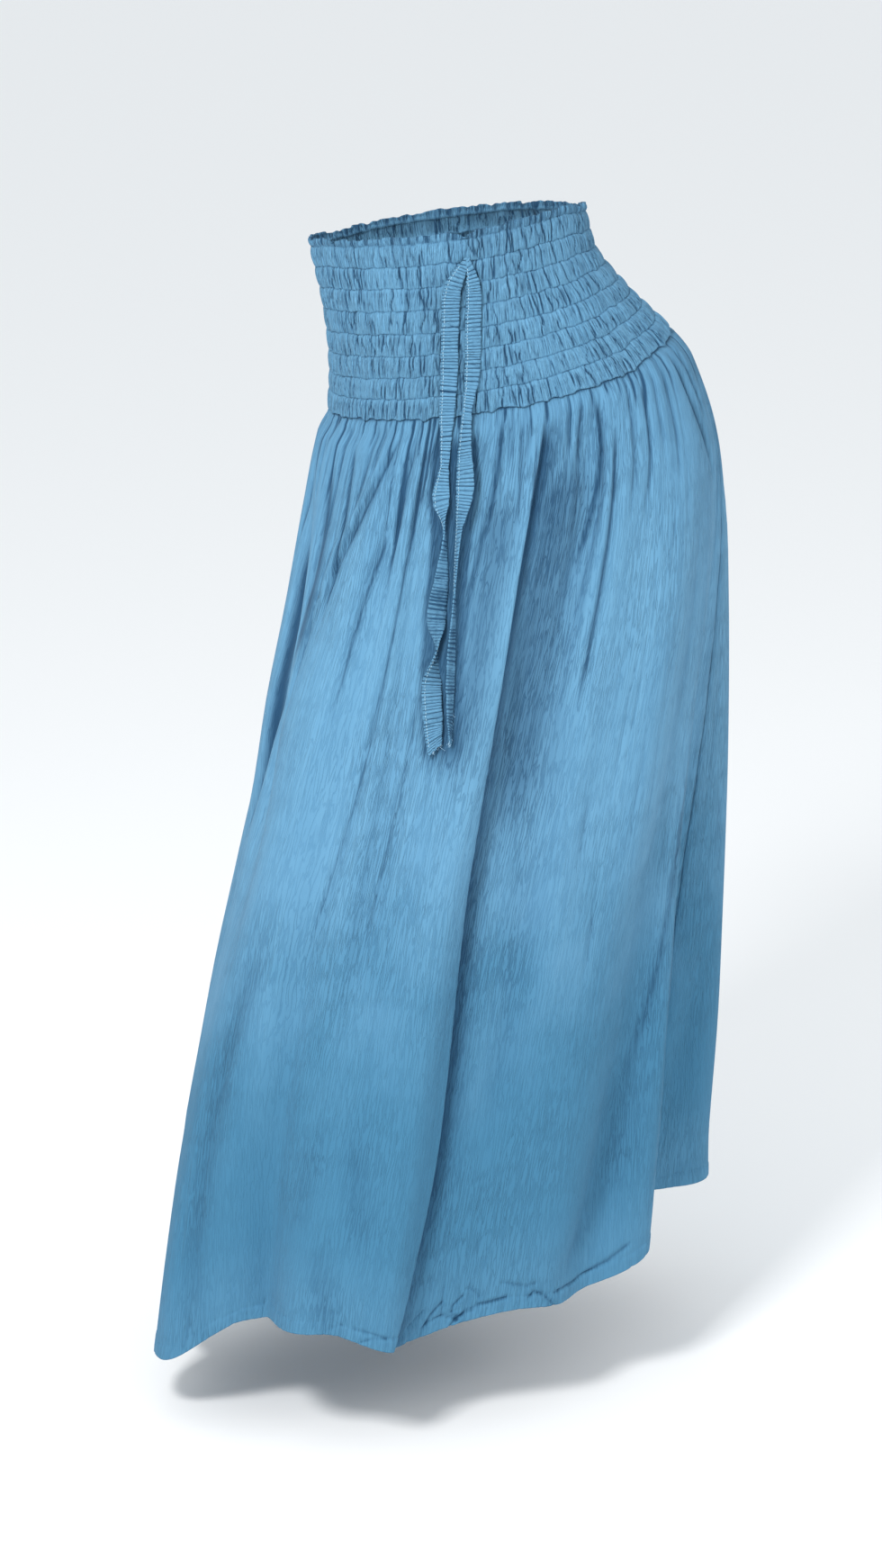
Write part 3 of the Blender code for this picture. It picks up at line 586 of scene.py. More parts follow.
# creases put where they lie on the cloth: depth below it or height above it, spread to the
# left and to the right in degrees, the shares over which it comes in and goes out, and its
# route as (share, column angle)
creases = [
    # the front, towards -X
    (-3.4, 2.6, 3, 0.02, 0.08, 0.16, 0.22, [(0, -62), (0.06, -58.5), (0.12, -55.5), (0.2, -56.5)]),
    (-5.6, 3, 3, 0.16, 0.21, 0.36, 0.48, [(0.16, -73), (0.25, -72.5), (0.34, -70), (0.46, -76)]),
    (-2.4, 0.9, 1, 0.08, 0.12, 0.2, 0.26, [(0.08, -59), (0.14, -57), (0.2, -57)]),
    (-3.4, 1.1, 1.5, 0.01, 0.05, 0.16, 0.24, [(0, -48), (0.04, -46), (0.1, -43.5), (0.24, -45.5)]),
    (-2.4, 0.9, 1.1, 0.1, 0.15, 0.26, 0.34, [(0.1, -46), (0.18, -47.5), (0.3, -49)]),
    (-3.4, 1.4, 2, 0, 0.04, 0.11, 0.19, [(0, -23), (0.05, -29), (0.11, -37), (0.2, -44)]),
    (2.2, 1.6, 2.2, 0.02, 0.06, 0.13, 0.22, [(0, -26.5), (0.05, -32.5), (0.11, -40.5), (0.2, -48)]),
    (-2.6, 1.1, 1.6, 0, 0.04, 0.1, 0.17, [(0, -17), (0.06, -18), (0.14, -20.5)]),
    (-3, 2.5, 3.2, 0.09, 0.14, 0.24, 0.36, [(0.1, -21), (0.14, -24.5), (0.2, -27), (0.34, -29)]),
    (-2.6, 1, 1.4, 0, 0.04, 0.09, 0.15, [(0, -12), (0.1, -13)]),
    (-3, 2.2, 3.2, 0.08, 0.14, 0.26, 0.4, [(0.08, -13), (0.23, -13), (0.36, -15)]),
    (-2.2, 0.8, 0.9, 0, 0.02, 0.06, 0.1, [(0, -7.5), (0.08, -7)]),
    (-2.5, 1.2, 1.6, 0, 0.02, 0.08, 0.14, [(0, -37), (0.05, -37.5), (0.1, -40)]),
    (-2.2, 1, 1.3, 0, 0.02, 0.05, 0.1, [(0, -33), (0.04, -33.5), (0.08, -36)]),
    (-2.8, 1, 1.5, 0, 0.02, 0.09, 0.15, [(0, -54), (0.05, -53), (0.1, -53)]),
    (-2.5, 1.2, 1.4, 0.01, 0.04, 0.1, 0.15, [(0, -72), (0.06, -70), (0.12, -72)]),
    (-3.1, 1.5, 1.5, 0, 0.04, 0.12, 0.2, [(0, -84), (0.06, -81), (0.14, -84)]),
    (-5, 2.4, 2.2, 0.2, 0.3, 0.4, 0.5, [(0.2, -66), (0.3, -68), (0.39, -73), (0.48, -80)]),
    (-2.4, 1.1, 3.6, 0.2, 0.3, 0.5, 0.62, [(0.25, -12), (0.36, -14), (0.45, -16), (0.6, -21)]),
    (-2.2, 1, 3.2, 0.22, 0.32, 0.5, 0.6, [(0.25, 0), (0.38, 0), (0.51, -1), (0.6, -2)]),
    (-7, 6, 6, 0.48, 0.6, 0.9, 1.1, [(0.54, -33), (0.62, -37), (0.7, -40), (0.88, -44)]),
    (-4.2, 5, 6, 0.7, 0.8, 0.86, 0.95, [(0.7, 2), (0.8, 6), (0.9, 11)]),
    (-3.4, 5, 6, 0.86, 0.92, 0.97, 1.1, [(0.86, -3), (0.94, 2), (1, 6)]),
    (3.1, 6, 6, 0.6, 0.75, 0.85, 1, [(0.6, -12), (0.8, -14), (1, -14)]),
    # the middle, where the overlap hangs down beside the tie
    (-4.2, 1.1, 1.5, 0, 0.03, 0.1, 0.16, [(0, 11), (0.08, 11), (0.16, 10)]),
    (-3, 2.6, 2.8, 0.07, 0.13, 0.24, 0.34, [(0.08, 10.5), (0.2, 10), (0.34, 11)]),
    (-2.5, 0.9, 1.2, 0, 0.03, 0.1, 0.16, [(0, 15.5), (0.09, 17), (0.14, 17)]),
    (-2.1, 0.8, 0.9, 0, 0.02, 0.04, 0.08, [(0, 13), (0.06, 13.5)]),
    (-2.2, 0.8, 0.9, 0.14, 0.2, 0.3, 0.38, [(0.14, 22.5), (0.26, 23), (0.38, 26)]),
    # the front, towards +X
    (-2.2, 1, 1, 0, 0.02, 0.04, 0.09, [(0, 28), (0.05, 28.5), (0.1, 28)]),
    (-2.8, 1, 1, 0, 0.02, 0.05, 0.1, [(0, 31.5), (0.05, 32), (0.1, 31)]),
    (-5.3, 2, 1.6, 0, 0.03, 0.14, 0.24, [(0, 35.5), (0.04, 37), (0.12, 36), (0.22, 35)]),
    (3.1, 1.2, 1.5, 0.02, 0.08, 0.3, 0.42, [(0.02, 38.8), (0.12, 38.4), (0.26, 37.6), (0.4, 38)]),
    (-3.4, 0.9, 2, 0.03, 0.08, 0.26, 0.4, [(0.03, 41.6), (0.11, 40.8), (0.26, 40), (0.4, 41)]),
    (-2.1, 0.8, 1, 0, 0.03, 0.1, 0.16, [(0, 46), (0.07, 47), (0.14, 46)]),
    (-2.7, 0.9, 1.3, 0, 0.03, 0.1, 0.17, [(0, 51), (0.07, 52.5), (0.14, 51)]),
    (-2, 0.9, 1, 0, 0.02, 0.06, 0.12, [(0, 56.5), (0.08, 57)]),
    (-2.5, 0.9, 1.2, 0, 0.03, 0.08, 0.16, [(0, 61), (0.06, 62.5), (0.13, 62)]),
    (-4.2, 1.2, 1.6, 0, 0.03, 0.1, 0.18, [(0, 69), (0.07, 74), (0.14, 80)]),
    (-2.5, 0.9, 1, 0, 0.02, 0.06, 0.1, [(0, 74), (0.07, 79)]),
    (-2.8, 4, 5, 0.3, 0.42, 0.7, 0.85, [(0.3, 33), (0.5, 36), (0.8, 38)]),
    (2.5, 3, 4, 0.24, 0.36, 0.55, 0.7, [(0.24, 41), (0.4, 43), (0.7, 46)]),
    (-2, 0.8, 1, 0.42, 0.45, 0.48, 0.52, [(0.42, 47), (0.52, 49)]),
    (-2, 0.8, 1, 0.53, 0.56, 0.6, 0.63, [(0.53, 54), (0.63, 55)]),
    (-2.6, 2.4, 4, 0.28, 0.4, 0.72, 0.9, [(0.28, 77), (0.42, 76), (0.58, 75), (0.78, 70.5), (0.9, 66)]),
    (-3.4, 0.9, 1.1, 0.3, 0.38, 0.8, 0.95, [(0.3, 79), (0.5, 78), (0.7, 76.5), (0.9, 79)]),
    (-1.7, 0.7, 0.8, 0.54, 0.57, 0.6, 0.66, [(0.54, 74), (0.66, 77)]),
    (-1.7, 0.7, 0.8, 0.58, 0.61, 0.65, 0.7, [(0.58, 73), (0.7, 76)]),
    (-5, 5, 5, 0.7, 0.8, 0.94, 1, [(0.72, 71), (0.82, 70.5), (0.88, 70), (0.94, 65), (1, 58)]),
    # the side towards +X and the back, with folds of the same kind
    (-3.1, 1.2, 1.8, 0, 0.05, 0.2, 0.34, [(0, 86), (0.12, 87), (0.3, 84)]),
    (-3.9, 1.4, 2.4, 0, 0.06, 0.3, 0.44, [(0, 103), (0.14, 105), (0.4, 108)]),
    (-2.8, 1.2, 1.5, 0, 0.04, 0.12, 0.2, [(0, 95), (0.08, 96), (0.18, 95)]),
    (-4.8, 1.6, 2.6, 0, 0.06, 0.4, 0.6, [(0, 121), (0.2, 123), (0.5, 121)]),
    (-3.4, 1.2, 2, 0, 0.04, 0.16, 0.26, [(0, 113), (0.1, 116), (0.22, 118)]),
    (2.8, 2, 2, 0.05, 0.15, 0.5, 0.7, [(0.05, 128), (0.3, 131), (0.6, 130)]),
    (-4.2, 1.4, 2.2, 0, 0.05, 0.24, 0.4, [(0, 137), (0.12, 140), (0.34, 143)]),
    (-3.1, 1.1, 1.6, 0, 0.03, 0.1, 0.18, [(0, 146), (0.08, 146.5), (0.16, 148)]),
    (-5, 1.8, 2.6, 0, 0.07, 0.5, 0.72, [(0, 157), (0.25, 156), (0.6, 154)]),
    (-2.8, 1.2, 1.6, 0, 0.04, 0.14, 0.22, [(0, 165), (0.1, 166), (0.2, 168)]),
    (-3.6, 1.3, 2, 0, 0.05, 0.3, 0.42, [(0, 176), (0.15, 178), (0.36, 181)]),
    (3.1, 2.2, 2.6, 0.1, 0.2, 0.6, 0.8, [(0.1, 188), (0.4, 190), (0.7, 188)]),
    (-4.5, 1.5, 2.4, 0, 0.06, 0.34, 0.5, [(0, 197), (0.18, 200), (0.4, 203)]),
    (-2.8, 1.1, 1.4, 0, 0.03, 0.1, 0.16, [(0, 205), (0.08, 206), (0.15, 209)]),
    (-4.2, 1.4, 2.2, 0, 0.05, 0.22, 0.36, [(0, 216), (0.12, 214), (0.3, 212)]),
    (-3.4, 1.3, 1.8, 0, 0.04, 0.16, 0.28, [(0, 226), (0.1, 228), (0.24, 231)]),
    (-4.8, 1.7, 2.4, 0, 0.06, 0.42, 0.6, [(0, 238), (0.2, 240), (0.5, 238)]),
    (-2.8, 1.1, 1.5, 0, 0.03, 0.12, 0.2, [(0, 247), (0.08, 248), (0.18, 246)]),
    (-3.6, 1.4, 2, 0, 0.05, 0.2, 0.34, [(0, 258), (0.12, 260), (0.3, 262)]),
    (-4.2, 6, 7, 0.5, 0.65, 0.95, 1.2, [(0.5, 112), (0.75, 110), (1, 112)]),
    (-4.8, 7, 6, 0.55, 0.7, 0.9, 1.1, [(0.55, 168), (0.8, 171), (1, 168)]),
    (-3.9, 6, 8, 0.5, 0.68, 0.95, 1.2, [(0.5, 225), (0.8, 222), (1, 224)]),
]

# places inside the folds that light hardly reaches: share of dark, reach to the left and right,
# the shares as above and the route
shades = [
    (0.8, 3.6, 6, 0.02, 0.1, 0.22, 0.29, [(0, -62), (0.06, -58), (0.12, -54), (0.18, -52.5), (0.27, -53)]),
    (1, 3.6, 4, 0.08, 0.17, 0.36, 0.48, [(0.08, -71), (0.16, -73), (0.25, -72.5), (0.34, -70),
                                             (0.46, -76)]),
    (0.46, 6, 6, 0.5, 0.6, 0.88, 1.05, [(0.54, -33), (0.62, -37), (0.7, -40), (0.88, -44)]),
    (0.34, 5, 6, 0.72, 0.79, 0.85, 0.93, [(0.72, -4), (0.92, -9)]),
    (0.34, 4, 4, 0.74, 0.82, 0.95, 1, [(0.72, 71), (0.82, 70.5), (0.88, 70), (0.94, 65), (1, 58)]),
    (0.7, 6, 12, 0.03, 0.1, 0.38, 0.54, [(0.03, 27), (0.12, 26), (0.2, 25), (0.3, 27), (0.5, 30)]),
    (0.62, 6, 5, 0.05, 0.12, 0.32, 0.44, [(0.06, 14), (0.2, 14), (0.42, 14)]),
]

# edges where cloth lies over cloth: swell before the edge, drop behind it, reach to the left and
# right, the shares as above and the route
lips = [
    (3.4, 6, 4.5, 7, 0, 0.05, 0.8, 1.4, [(0, 23), (0.07, 20), (0.14, 19), (0.26, 19), (0.4, 22),
                                              (0.59, 24.5), (0.8, 24), (1, 22)]),
    (1.6, 2.6, 2.5, 2.6, 0, 0.05, 0.2, 0.36, [(0, 36.5), (0.06, 37), (0.14, 36.4), (0.24, 35.4),
                                                (0.36, 35)]),
    (1.4, 2.4, 2.5, 3, 0.02, 0.08, 0.2, 0.32, [(0.01, -25), (0.05, -31), (0.11, -39), (0.17, -44.5),
                                                 (0.26, -50)]),
    (1.2, 1.8, 3, 3, 0.22, 0.32, 0.5, 0.66, [(0.22, 77), (0.35, 76.5), (0.5, 75.5), (0.66, 73.5)]),
    (1.2, 2.2, 3, 3.5, 0, 0.06, 0.4, 0.6, [(0, 131), (0.3, 134), (0.6, 133)]),
    (1.4, 2.4, 3, 3.5, 0, 0.06, 0.5, 0.7, [(0, 192), (0.3, 190), (0.7, 187)]),
    (1.2, 2.2, 3, 3.5, 0, 0.06, 0.36, 0.56, [(0, 251), (0.3, 254), (0.56, 256)]),
]

# tucks and puckers of the hem: depth, spread, and a route as (column angle, millimetres up)
tucks = [
    (1.3, 0.9, [(33.5, 0), (33.6, 14), (33.4, 28), (33.2, 43)]),
    (1.8, 1.4, [(48, 14), (43, 13), (39, 11), (38, 6), (36, 1)]),
    (1.6, 1.2, [(38, 27), (36, 20), (36, 12), (38, 7), (41, 9)]),
    (1.7, 1.3, [(53, 10), (54, 16), (56, 12), (58, 5), (59, 0)]),
    (1.6, 1.4, [(59, 12), (62, 14), (65, 13), (68, 14), (70, 17), (72, 24)]),
    (1.7, 1.4, [(29, 2), (30, 11), (31, 19), (33, 27)]),
    (1.5, 1.3, [(22, 2), (25, 11), (27, 18), (29, 25)]),
    (1.2, 1.1, [(26, 1), (28.5, 8), (31, 12), (33, 14)]),
    (1.3, 1.1, [(34, 13), (36, 9), (37.5, 3)]),
    (1.2, 1.2, [(39, 34), (41, 28), (42, 21)]),
    (1.2, 1.2, [(47, 30), (50, 25), (52, 22), (54, 24)]),
    (1.1, 1, [(12, 13), (17, 14), (21, 12)]),
    (1.2, 1, [(14, 3), (16, 9), (19, 12)]),
    (1, 1, [(5, 1), (7, 8), (9, 13)]),
    (1.1, 0.9, [(-8, 0), (-7, 9), (-6.5, 15)]),
    (1, 0.9, [(-24, 0), (-23.6, 12), (-23.4, 20)]),
]


def alongRoutes(rows, columns, share):
    # each row's sizes, how far the cloth lies from its route, and how fully the row shows there
    for *sizes, comes, full, fades, gone, route in rows:
        places = np.array(route)
        shape = np.polyfit(places[:, 0], places[:, 1], min(3, len(places) - 1))
        middle = np.polyval(shape, np.clip(share, places[0, 0], places[-1, 0]))
        yield sizes, apart(columns, middle, 360), fadeInOut(share, comes, full, fades, gone)


def nearRoute(x, y, route):
    # how far points are from a route of straight steps
    best = np.full(x.shape, 1e9)
    for (ax, ay), (bx, by) in zip(route, route[1:]):
        t = np.clip(((x - ax) * (bx - ax) + (y - ay) * (by - ay)) / ((bx - ax) ** 2 + (by - ay) ** 2), 0, 1)
        best = np.minimum(best, np.hypot(x - ax - t * (bx - ax), y - ay - t * (by - ay)))
    return best


def makeSkirt():
    draw = np.random.default_rng(skirt["seed"])
    columns = evenColumns(skirt["columns"], skirt["evenAt"])
    fall = cut["length"] - yokeLength
    below = np.concatenate([[-6, -4, -2, -0.4, 0.8, 2, 3.4, 5, 7, 9.5, 12.5], np.linspace(16, 132, 27),
                            np.linspace(144, fall - 54, 28), np.linspace(fall - 46, fall - 1, 25),
                            [fall]])[:, None]
    share = np.clip(below / fall, 0, 1)
    down = yokeLength + below - tableValue(seamLift, columns) * (1 - share)
    grid = clothGrid(np.broadcast_to(columns, down.shape), down)
    normal = gridNormals(grid)
    seam, around = arcAlong(columns, yokeLength)
    hem, hemAround = arcAlong(columns, cut["length"] - 40)
    relief = np.zeros_like(down)
    # gathers that come out of the seam and die away down the cloth
    centre = 0.0
    while centre < around - 3:
        low, high = skirt["gatherDepth"]
        depth = low + (high - low) * draw.random() ** 1.6
        width = draw.uniform(*skirt["gatherWidth"])
        length = 14 + 190 * draw.random() ** 2.4
        lean = draw.normal(0, 0.03)
        away = apart(seam, centre, around) - lean * below + 0.8 * np.sin(below / (18 + length / 3) + centre)
        away = away / (width * (1 + below.clip(0) / 170))
        relief -= depth * (1 - ease(0.25 * length, length, below)) * np.exp(-np.abs(away) ** 1.6)
        step = draw.normal(skirt["gatherPitch"], skirt["gatherSpread"])
        centre += np.clip(step, *skirt["gatherApart"])
    # the cloth is pulled smoother over both hips
    for hip, loss in skirt["hips"]:
        relief *= 1 - loss * bell(apart(columns, hip, 360) / skirt["hipWidth"])
    relief = np.maximum(relief, -skirt["deepest"])
    # fine lengthwise crinkles all over, denser towards the seam
    for _ in range(skirt["crinkles"]):
        middle, start = draw.uniform(0, around), draw.random() ** 1.5 * 0.92
        length, depth = draw.uniform(0.04, 0.28), draw.uniform(0.2, 0.8) * (1 - 0.6 * start)
        width = draw.uniform(1.0, 2.0)
        window = fadeInOut(share, start - 0.05, start + 0.02, start + length * 0.6, start + length)
        away = apart(seam, middle, around) + draw.normal(0, 6) * (share - start)
        relief += depth * draw.choice((-1, -1, 1)) * window * bell(away / width)
    # painted shade in the grooves of the gathers and crinkles
    paintedShade = np.clip(-relief / 1.25, 0, 1) ** 1.2
    # the creases that were listed
    hand = np.zeros_like(down)
    for (size, left, right), away, window in alongRoutes(creases, columns, share):
        spread = np.where(away < 0, left, right)
        hand += size * window * np.exp(-np.abs(away / spread) ** 1.7)
        # each crease also paints shade into its core and around it
        press = np.clip(-size / 3.4, 0, 1) * window
        if left + right < 7:
            core = np.exp(-np.abs(away / np.minimum(spread, 1.0)) ** 1.5)
            paintedShade = np.maximum(paintedShade, 0.85 * press * core)
        shade = 0.45 if left + right < 14 else 0.24
        paintedShade = np.maximum(paintedShade, shade * press * np.exp(-np.abs(away / spread) ** 1.5))
    for (amount, left, right), away, window in alongRoutes(shades, columns, share):
        spread = np.where(away < 0, left, right)
        paintedShade = np.maximum(paintedShade, amount * window * bell(away / spread))
    # the edges of cloth that lies over cloth: it swells towards the edge and drops away behind it, and the
    # cloth behind the edge gets a painted shadow
    for (swell, drop, left, right), away, window in alongRoutes(lips, columns, share):
        past = 0.5 + 0.5 * np.tanh(away / 0.3)
        hand += window * ((1 - past) * swell * np.exp(np.minimum(away, 0) / left)
                          - past * drop * np.exp(-np.maximum(away, 0) / right))
        behind = np.maximum(away, 0)
        shadow = past * (0.4 * np.exp(-behind / 2.0) + 0.7 * bell(behind / right))
        paintedShade = np.maximum(paintedShade, np.clip(drop / 5, 0, 1) * window * shadow)
    hand *= ease(0.5, 9, below)
    relief *= ease(0, 5, below)
    # a painted shadow just below the seam, under the yoke's edge
    paintedShade = np.maximum(paintedShade, 0.75 * (1 - ease(0, 3.5, below)))
    # the lower cloth is softly dented, in broad uneven places
    soft = np.zeros_like(down)
    for _ in range(skirt["dents"]):
        middle, height = draw.uniform(0, hemAround), draw.uniform(0.45, 1.02)
        wide, tall, size = draw.uniform(18, 50), draw.uniform(0.03, 0.1), draw.normal(0, 2.1)
        lean = draw.normal(0, 90)
        away = apart(hem, middle, hemAround) - lean * (share - height)
        soft += size * np.exp(-((away / wide) ** 2) - ((share - height) / tall) ** 2)
    # the turned hem: a band that stands a little proud, puckered and tucked
    up = fall - below
    waveBand = skirt["hemDepth"] + 1.2 * wander(hem, hemAround, (9, 21, 34, 55), draw)
    band = 1 - ease(waveBand - 0.8, waveBand + 0.8, up)
    stitched = bell((up - waveBand - 0.3) / 1.3)
    hemRelief = 0.55 * band - 0.55 * stitched
    for _ in range(skirt["puckers"]):
        middle, lean = draw.uniform(0, hemAround), draw.normal(0, 0.45)
        size, width, reach = draw.uniform(0.2, 0.75), draw.uniform(1.4, 2.6), draw.uniform(6, 22)
        away = apart(hem, middle, hemAround) - lean * up
        hemRelief = hemRelief - size * (1 - ease(reach * 0.5, reach, up)) * bell(away / width)
    perDegree = hemAround / 360
    low = up[:, 0] < 70
    hemX = apart(columns, 0, 360) * perDegree + 0 * up[low]
    hemY = up[low] + 0 * hemX
    for depth, width, route in tucks:
        route = [(angle * perDegree, height) for angle, height in route]
        groove = bell(nearRoute(hemX, hemY, route) / (width * 1.5))
        hemRelief[low] -= depth * groove
    # painted shade in the hem's puckers, tucks and stitched groove
    paintedShade = np.maximum(paintedShade, np.clip(-hemRelief / 2.6, 0, 1))
    # a painted shadow on the cloth behind the tie
    paintedShade = np.maximum(paintedShade, 0.8 * underTie(grid) * ease(4, 30, below))
    total = relief + hand + soft + hemRelief
    for side in (-90, 90):
        away = apart(columns, side, 360) * perDegree
        pucker = 1 + 0.5 * np.sin(below / 5.5 + side)
        pinch = bell(away / 2.2) * pucker
        total = total - skirt["sidePinch"] * pinch
        # painted shade along the side seam, where the cloth is pinched in
        paintedShade = np.maximum(paintedShade, 0.5 * bell(away / 1.4))
    total -= skirt["tuck"] * (1 - ease(1.5, 7.5, below))
    covered = underTie(grid)
    total = np.where(total > -0.3, total * (1 - covered) - 0.3 * covered, total)
    outside = grid + normal * (0.6 + total)[..., None]
    chart = np.stack([np.broadcast_to(hem, down.shape), down], -1)
    weight = 0.5 + 0.5 * band
    return makeHalves("hangingCloth", skirt, hemAround, (outside, chart, paintedShade, weight))


skirtFront, skirtBack = makeSkirt()

print("materials")


class Number:
    # a socket that carries one number, with Python's own arithmetic on it
    def __init__(self, finish, socket):
        self.finish = finish
        self.socket = socket

    def reckon(self, operation, first, second=0):
        node = self.finish.node("ShaderNodeMath", {"operation": operation}, {0: first, 1: second})
        return Number(self.finish, node.outputs[0])

    def __add__(self, other):
        return self.reckon("ADD", self, other)

    def __radd__(self, other):
        return self.reckon("ADD", other, self)

    def __sub__(self, other):
        return self.reckon("SUBTRACT", self, other)

    def __rsub__(self, other):
        return self.reckon("SUBTRACT", other, self)

    def __mul__(self, other):
        return self.reckon("MULTIPLY", self, other)

    def __rmul__(self, other):
        return self.reckon("MULTIPLY", other, self)

    def __pow__(self, other):
        return self.reckon("POWER", self, other)

    def __abs__(self):
        return self.reckon("ABSOLUTE", self)


class Finish:
    # one material, with its nodes added one by one
    def __init__(self, name):
        self.material = bpy.data.materials.new(name)
        self.material.use_nodes = True
        self.tree = self.material.node_tree
        self.shader = self.tree.nodes["Principled BSDF"]
        self.place = self.node("ShaderNodeUVMap", {"uv_map": "cloth"}).outputs["UV"]

    def feed(self, socket, value):
        if isinstance(value, Number):
            value = value.socket
        if isinstance(value, bpy.types.NodeSocket):
            self.tree.links.new(value, socket)
        else:
            socket.default_value = value

    def node(self, kind, settings=None, sockets=None):
        made = self.tree.nodes.new(kind)
        for name, value in (settings or {}).items():
            setattr(made, name, value)
        for name, value in (sockets or {}).items():
            self.feed(made.inputs[name], value)
        return made

    def noiseOver(self, vector, detail, distortion=0):
        sockets = {"Vector": vector, "Scale": 1, "Detail": detail, "Distortion": distortion}
        made = self.node("ShaderNodeTexNoise", {"noise_dimensions": "2D"}, sockets)
        return Number(self, made.outputs["Fac"])

    def noise(self, scale, detail=2, distortion=0):
        # uneven streaks; scale is how many to the metre across the cloth and down it
        spread = self.node("ShaderNodeMapping", None, {"Vector": self.place, "Scale": (*scale, 1)})
        return self.noiseOver(spread.outputs[0], detail, distortion)

    def reckon(self, operation, value):
        return Number(self, self.node("ShaderNodeMath", {"operation": operation}, {0: value}).outputs[0])

    def between(self, value, low, high):
        made = self.node("ShaderNodeMapRange", {"interpolation_type": "SMOOTHSTEP"},
                         {"Value": value, "From Min": low, "From Max": high})
        return Number(self, made.outputs[0])

    def blend(self, share, first, second):
        made = self.node("ShaderNodeMix", {"data_type": "RGBA"}, {0: share, 6: first, 7: second})
        return made.outputs[2]

    def noiseAt(self, x, y, detail=2):
        # noise over two numbers that are already scaled
        spot = self.node("ShaderNodeCombineXYZ", None, {0: x, 1: y})
        return self.noiseOver(spot.outputs[0], detail)

    def along(self):
        # how far across and down the cloth a point is, in metres
        parts = self.node("ShaderNodeSeparateXYZ", None, {0: self.place})
        return Number(self, parts.outputs[0]), Number(self, parts.outputs[1])

    def close(self, colour, roughness, height, sheen):
        bump = self.node("ShaderNodeBump", None, {"Strength": 1, "Distance": mm, "Height": height})
        self.feed(self.shader.inputs["Base Color"], colour)
        self.feed(self.shader.inputs["Roughness"], roughness)
        self.feed(self.shader.inputs["Normal"], bump.outputs[0])
        self.shader.inputs["Sheen Weight"].default_value = sheen
        self.shader.inputs["Sheen Roughness"].default_value = cloth["sheenRoughness"]
        self.shader.inputs["Specular IOR Level"].default_value = cloth["specular"]
        return self.material


cloth = {
    "light": (0.128, 0.30, 0.455, 1),
    "middle": (0.094, 0.24, 0.385, 1),
    # the painted shade colour of the lower cloth
    "low": (0.052, 0.182, 0.305, 1),
    # the painted shade colour that creases, folds and gaps are mixed towards
    "deep": (0.012, 0.05, 0.11, 1),
    "thread": (0.36, 0.58, 0.72, 1),
    "looseThread": (0.42, 0.66, 0.84, 1),
    "roughness": 0.84,
    "sheen": 0.03,
    "sheenRoughness": 0.45,
    "specular": 0.12,
}


def crinkledCloth(name, across, along, lines, grain, part):
    # crinkled cloth: broad streaks, fine ridged lines that follow the grain, and a crepe grain, with painted
    # shade in the fine lines, creases and folds
    finish = Finish(name)
    mark = finish.node("ShaderNodeAttribute", {"attribute_name": "creaseShade"})
    creaseShade = Number(finish, mark.outputs["Fac"])
    x, y = finish.along()
    broad = finish.noise((across * 0.2, along * 0.3), 3)
    streaks = finish.noise((across, along), 3, 0.25)
    fine = finish.noise((across * 2.6, along * 4.6), 2, 0.3)
    crepe = finish.noise((across * 6, along * 22), 2)
    patches = finish.noise((9, 7), 2)
    ridged = abs(streaks * 2 - 1)
    hairs = finish.between(abs(fine * 2 - 1), 0.0, 0.17)
    amount = finish.between(patches, 0.3, 0.7) * 0.6 + 0.5
    height = (ridged * lines + hairs * (lines * 0.7)) * amount + crepe * grain - creaseShade * 0.5
    # the tone varies at random in broad streaks, and is painted lighter on the raised crinkles and darker in
    # their grooves
    toneAndShade = broad * 0.42 + hairs * 0.2 + ridged * 0.3 + crepe * 0.14
    # painted shade: the colour darkens with the crease mark and in the fine crinkle lines
    dark = creaseShade ** 1.7 * 0.75 + creaseShade * 0.25 + (1 - hairs) * 0.24 * amount
    colour = finish.blend(finish.between(toneAndShade, 0.2, 0.8), cloth["middle"], cloth["light"])
    if part == "yoke":
        # thin gathers of their own in every row, pinched where the elastic holds them, with painted shade in
        # their folds
        place = (y - cut["header"] * mm) * (1 / (cut["pitch"] * mm))
        row = finish.reckon("FLOOR", place)
        inside = 1 - abs((place - row) * 2 - 1) ** 5
        thin = finish.noiseAt(x * 330 + row * 37.7 + (place - row) * 0.5, (place - row) * 0.55 + row * 3.1, 2)
        fold = 1 - finish.between(abs(thin * 2 - 1), 0.0, 0.2)
        soft = finish.noiseAt(x * 120 + row * 17.3, place * 0.7, 1)
        dark = dark + fold * inside * finish.between(soft, 0.35, 0.6) * 0.5
        height = height - fold * inside * 0.5
    if part == "hanging":
        # the lower cloth is painted darker in broad uneven patches, as painted shade where less light reaches
        # it, a little less so at the hem; the gathered cloth below the seam is painted darker too, as painted
        # shade
        lowerShade = finish.between(y + patches * 0.3, 0.66, 0.98)
        hem = finish.between(y, 0.91, 1.0)
        seam = 1 - finish.between(y, 0.17, 0.34)
        colour = finish.blend(lowerShade * (0.95 - hem * 0.3), colour, cloth["low"])
        colour = finish.blend(seam * 0.6, colour, cloth["middle"])
        dark = dark + seam * 0.08
    # the colour is mixed towards the painted shade colour
    colour = finish.blend(finish.between(dark, 0, 1) * 0.92, colour, cloth["deep"])
    roughness = cloth["roughness"] + crepe * 0.12 - 0.06
    return finish.close(colour, roughness, height, cloth["sheen"])


def plainThread(name, colour):
    finish = Finish(name)
    place = finish.node("ShaderNodeTexCoord").outputs["Object"]
    twist = finish.node("ShaderNodeTexNoise", None, {"Vector": place, "Scale": 1400, "Detail": 1})
    ply = Number(finish, twist.outputs["Fac"])
    shade = tuple(part * 0.8 for part in colour[:3]) + (1,)
    return finish.close(finish.blend(ply, shade, colour), 0.55 + ply * 0.1, ply * 0.08, 0.1)


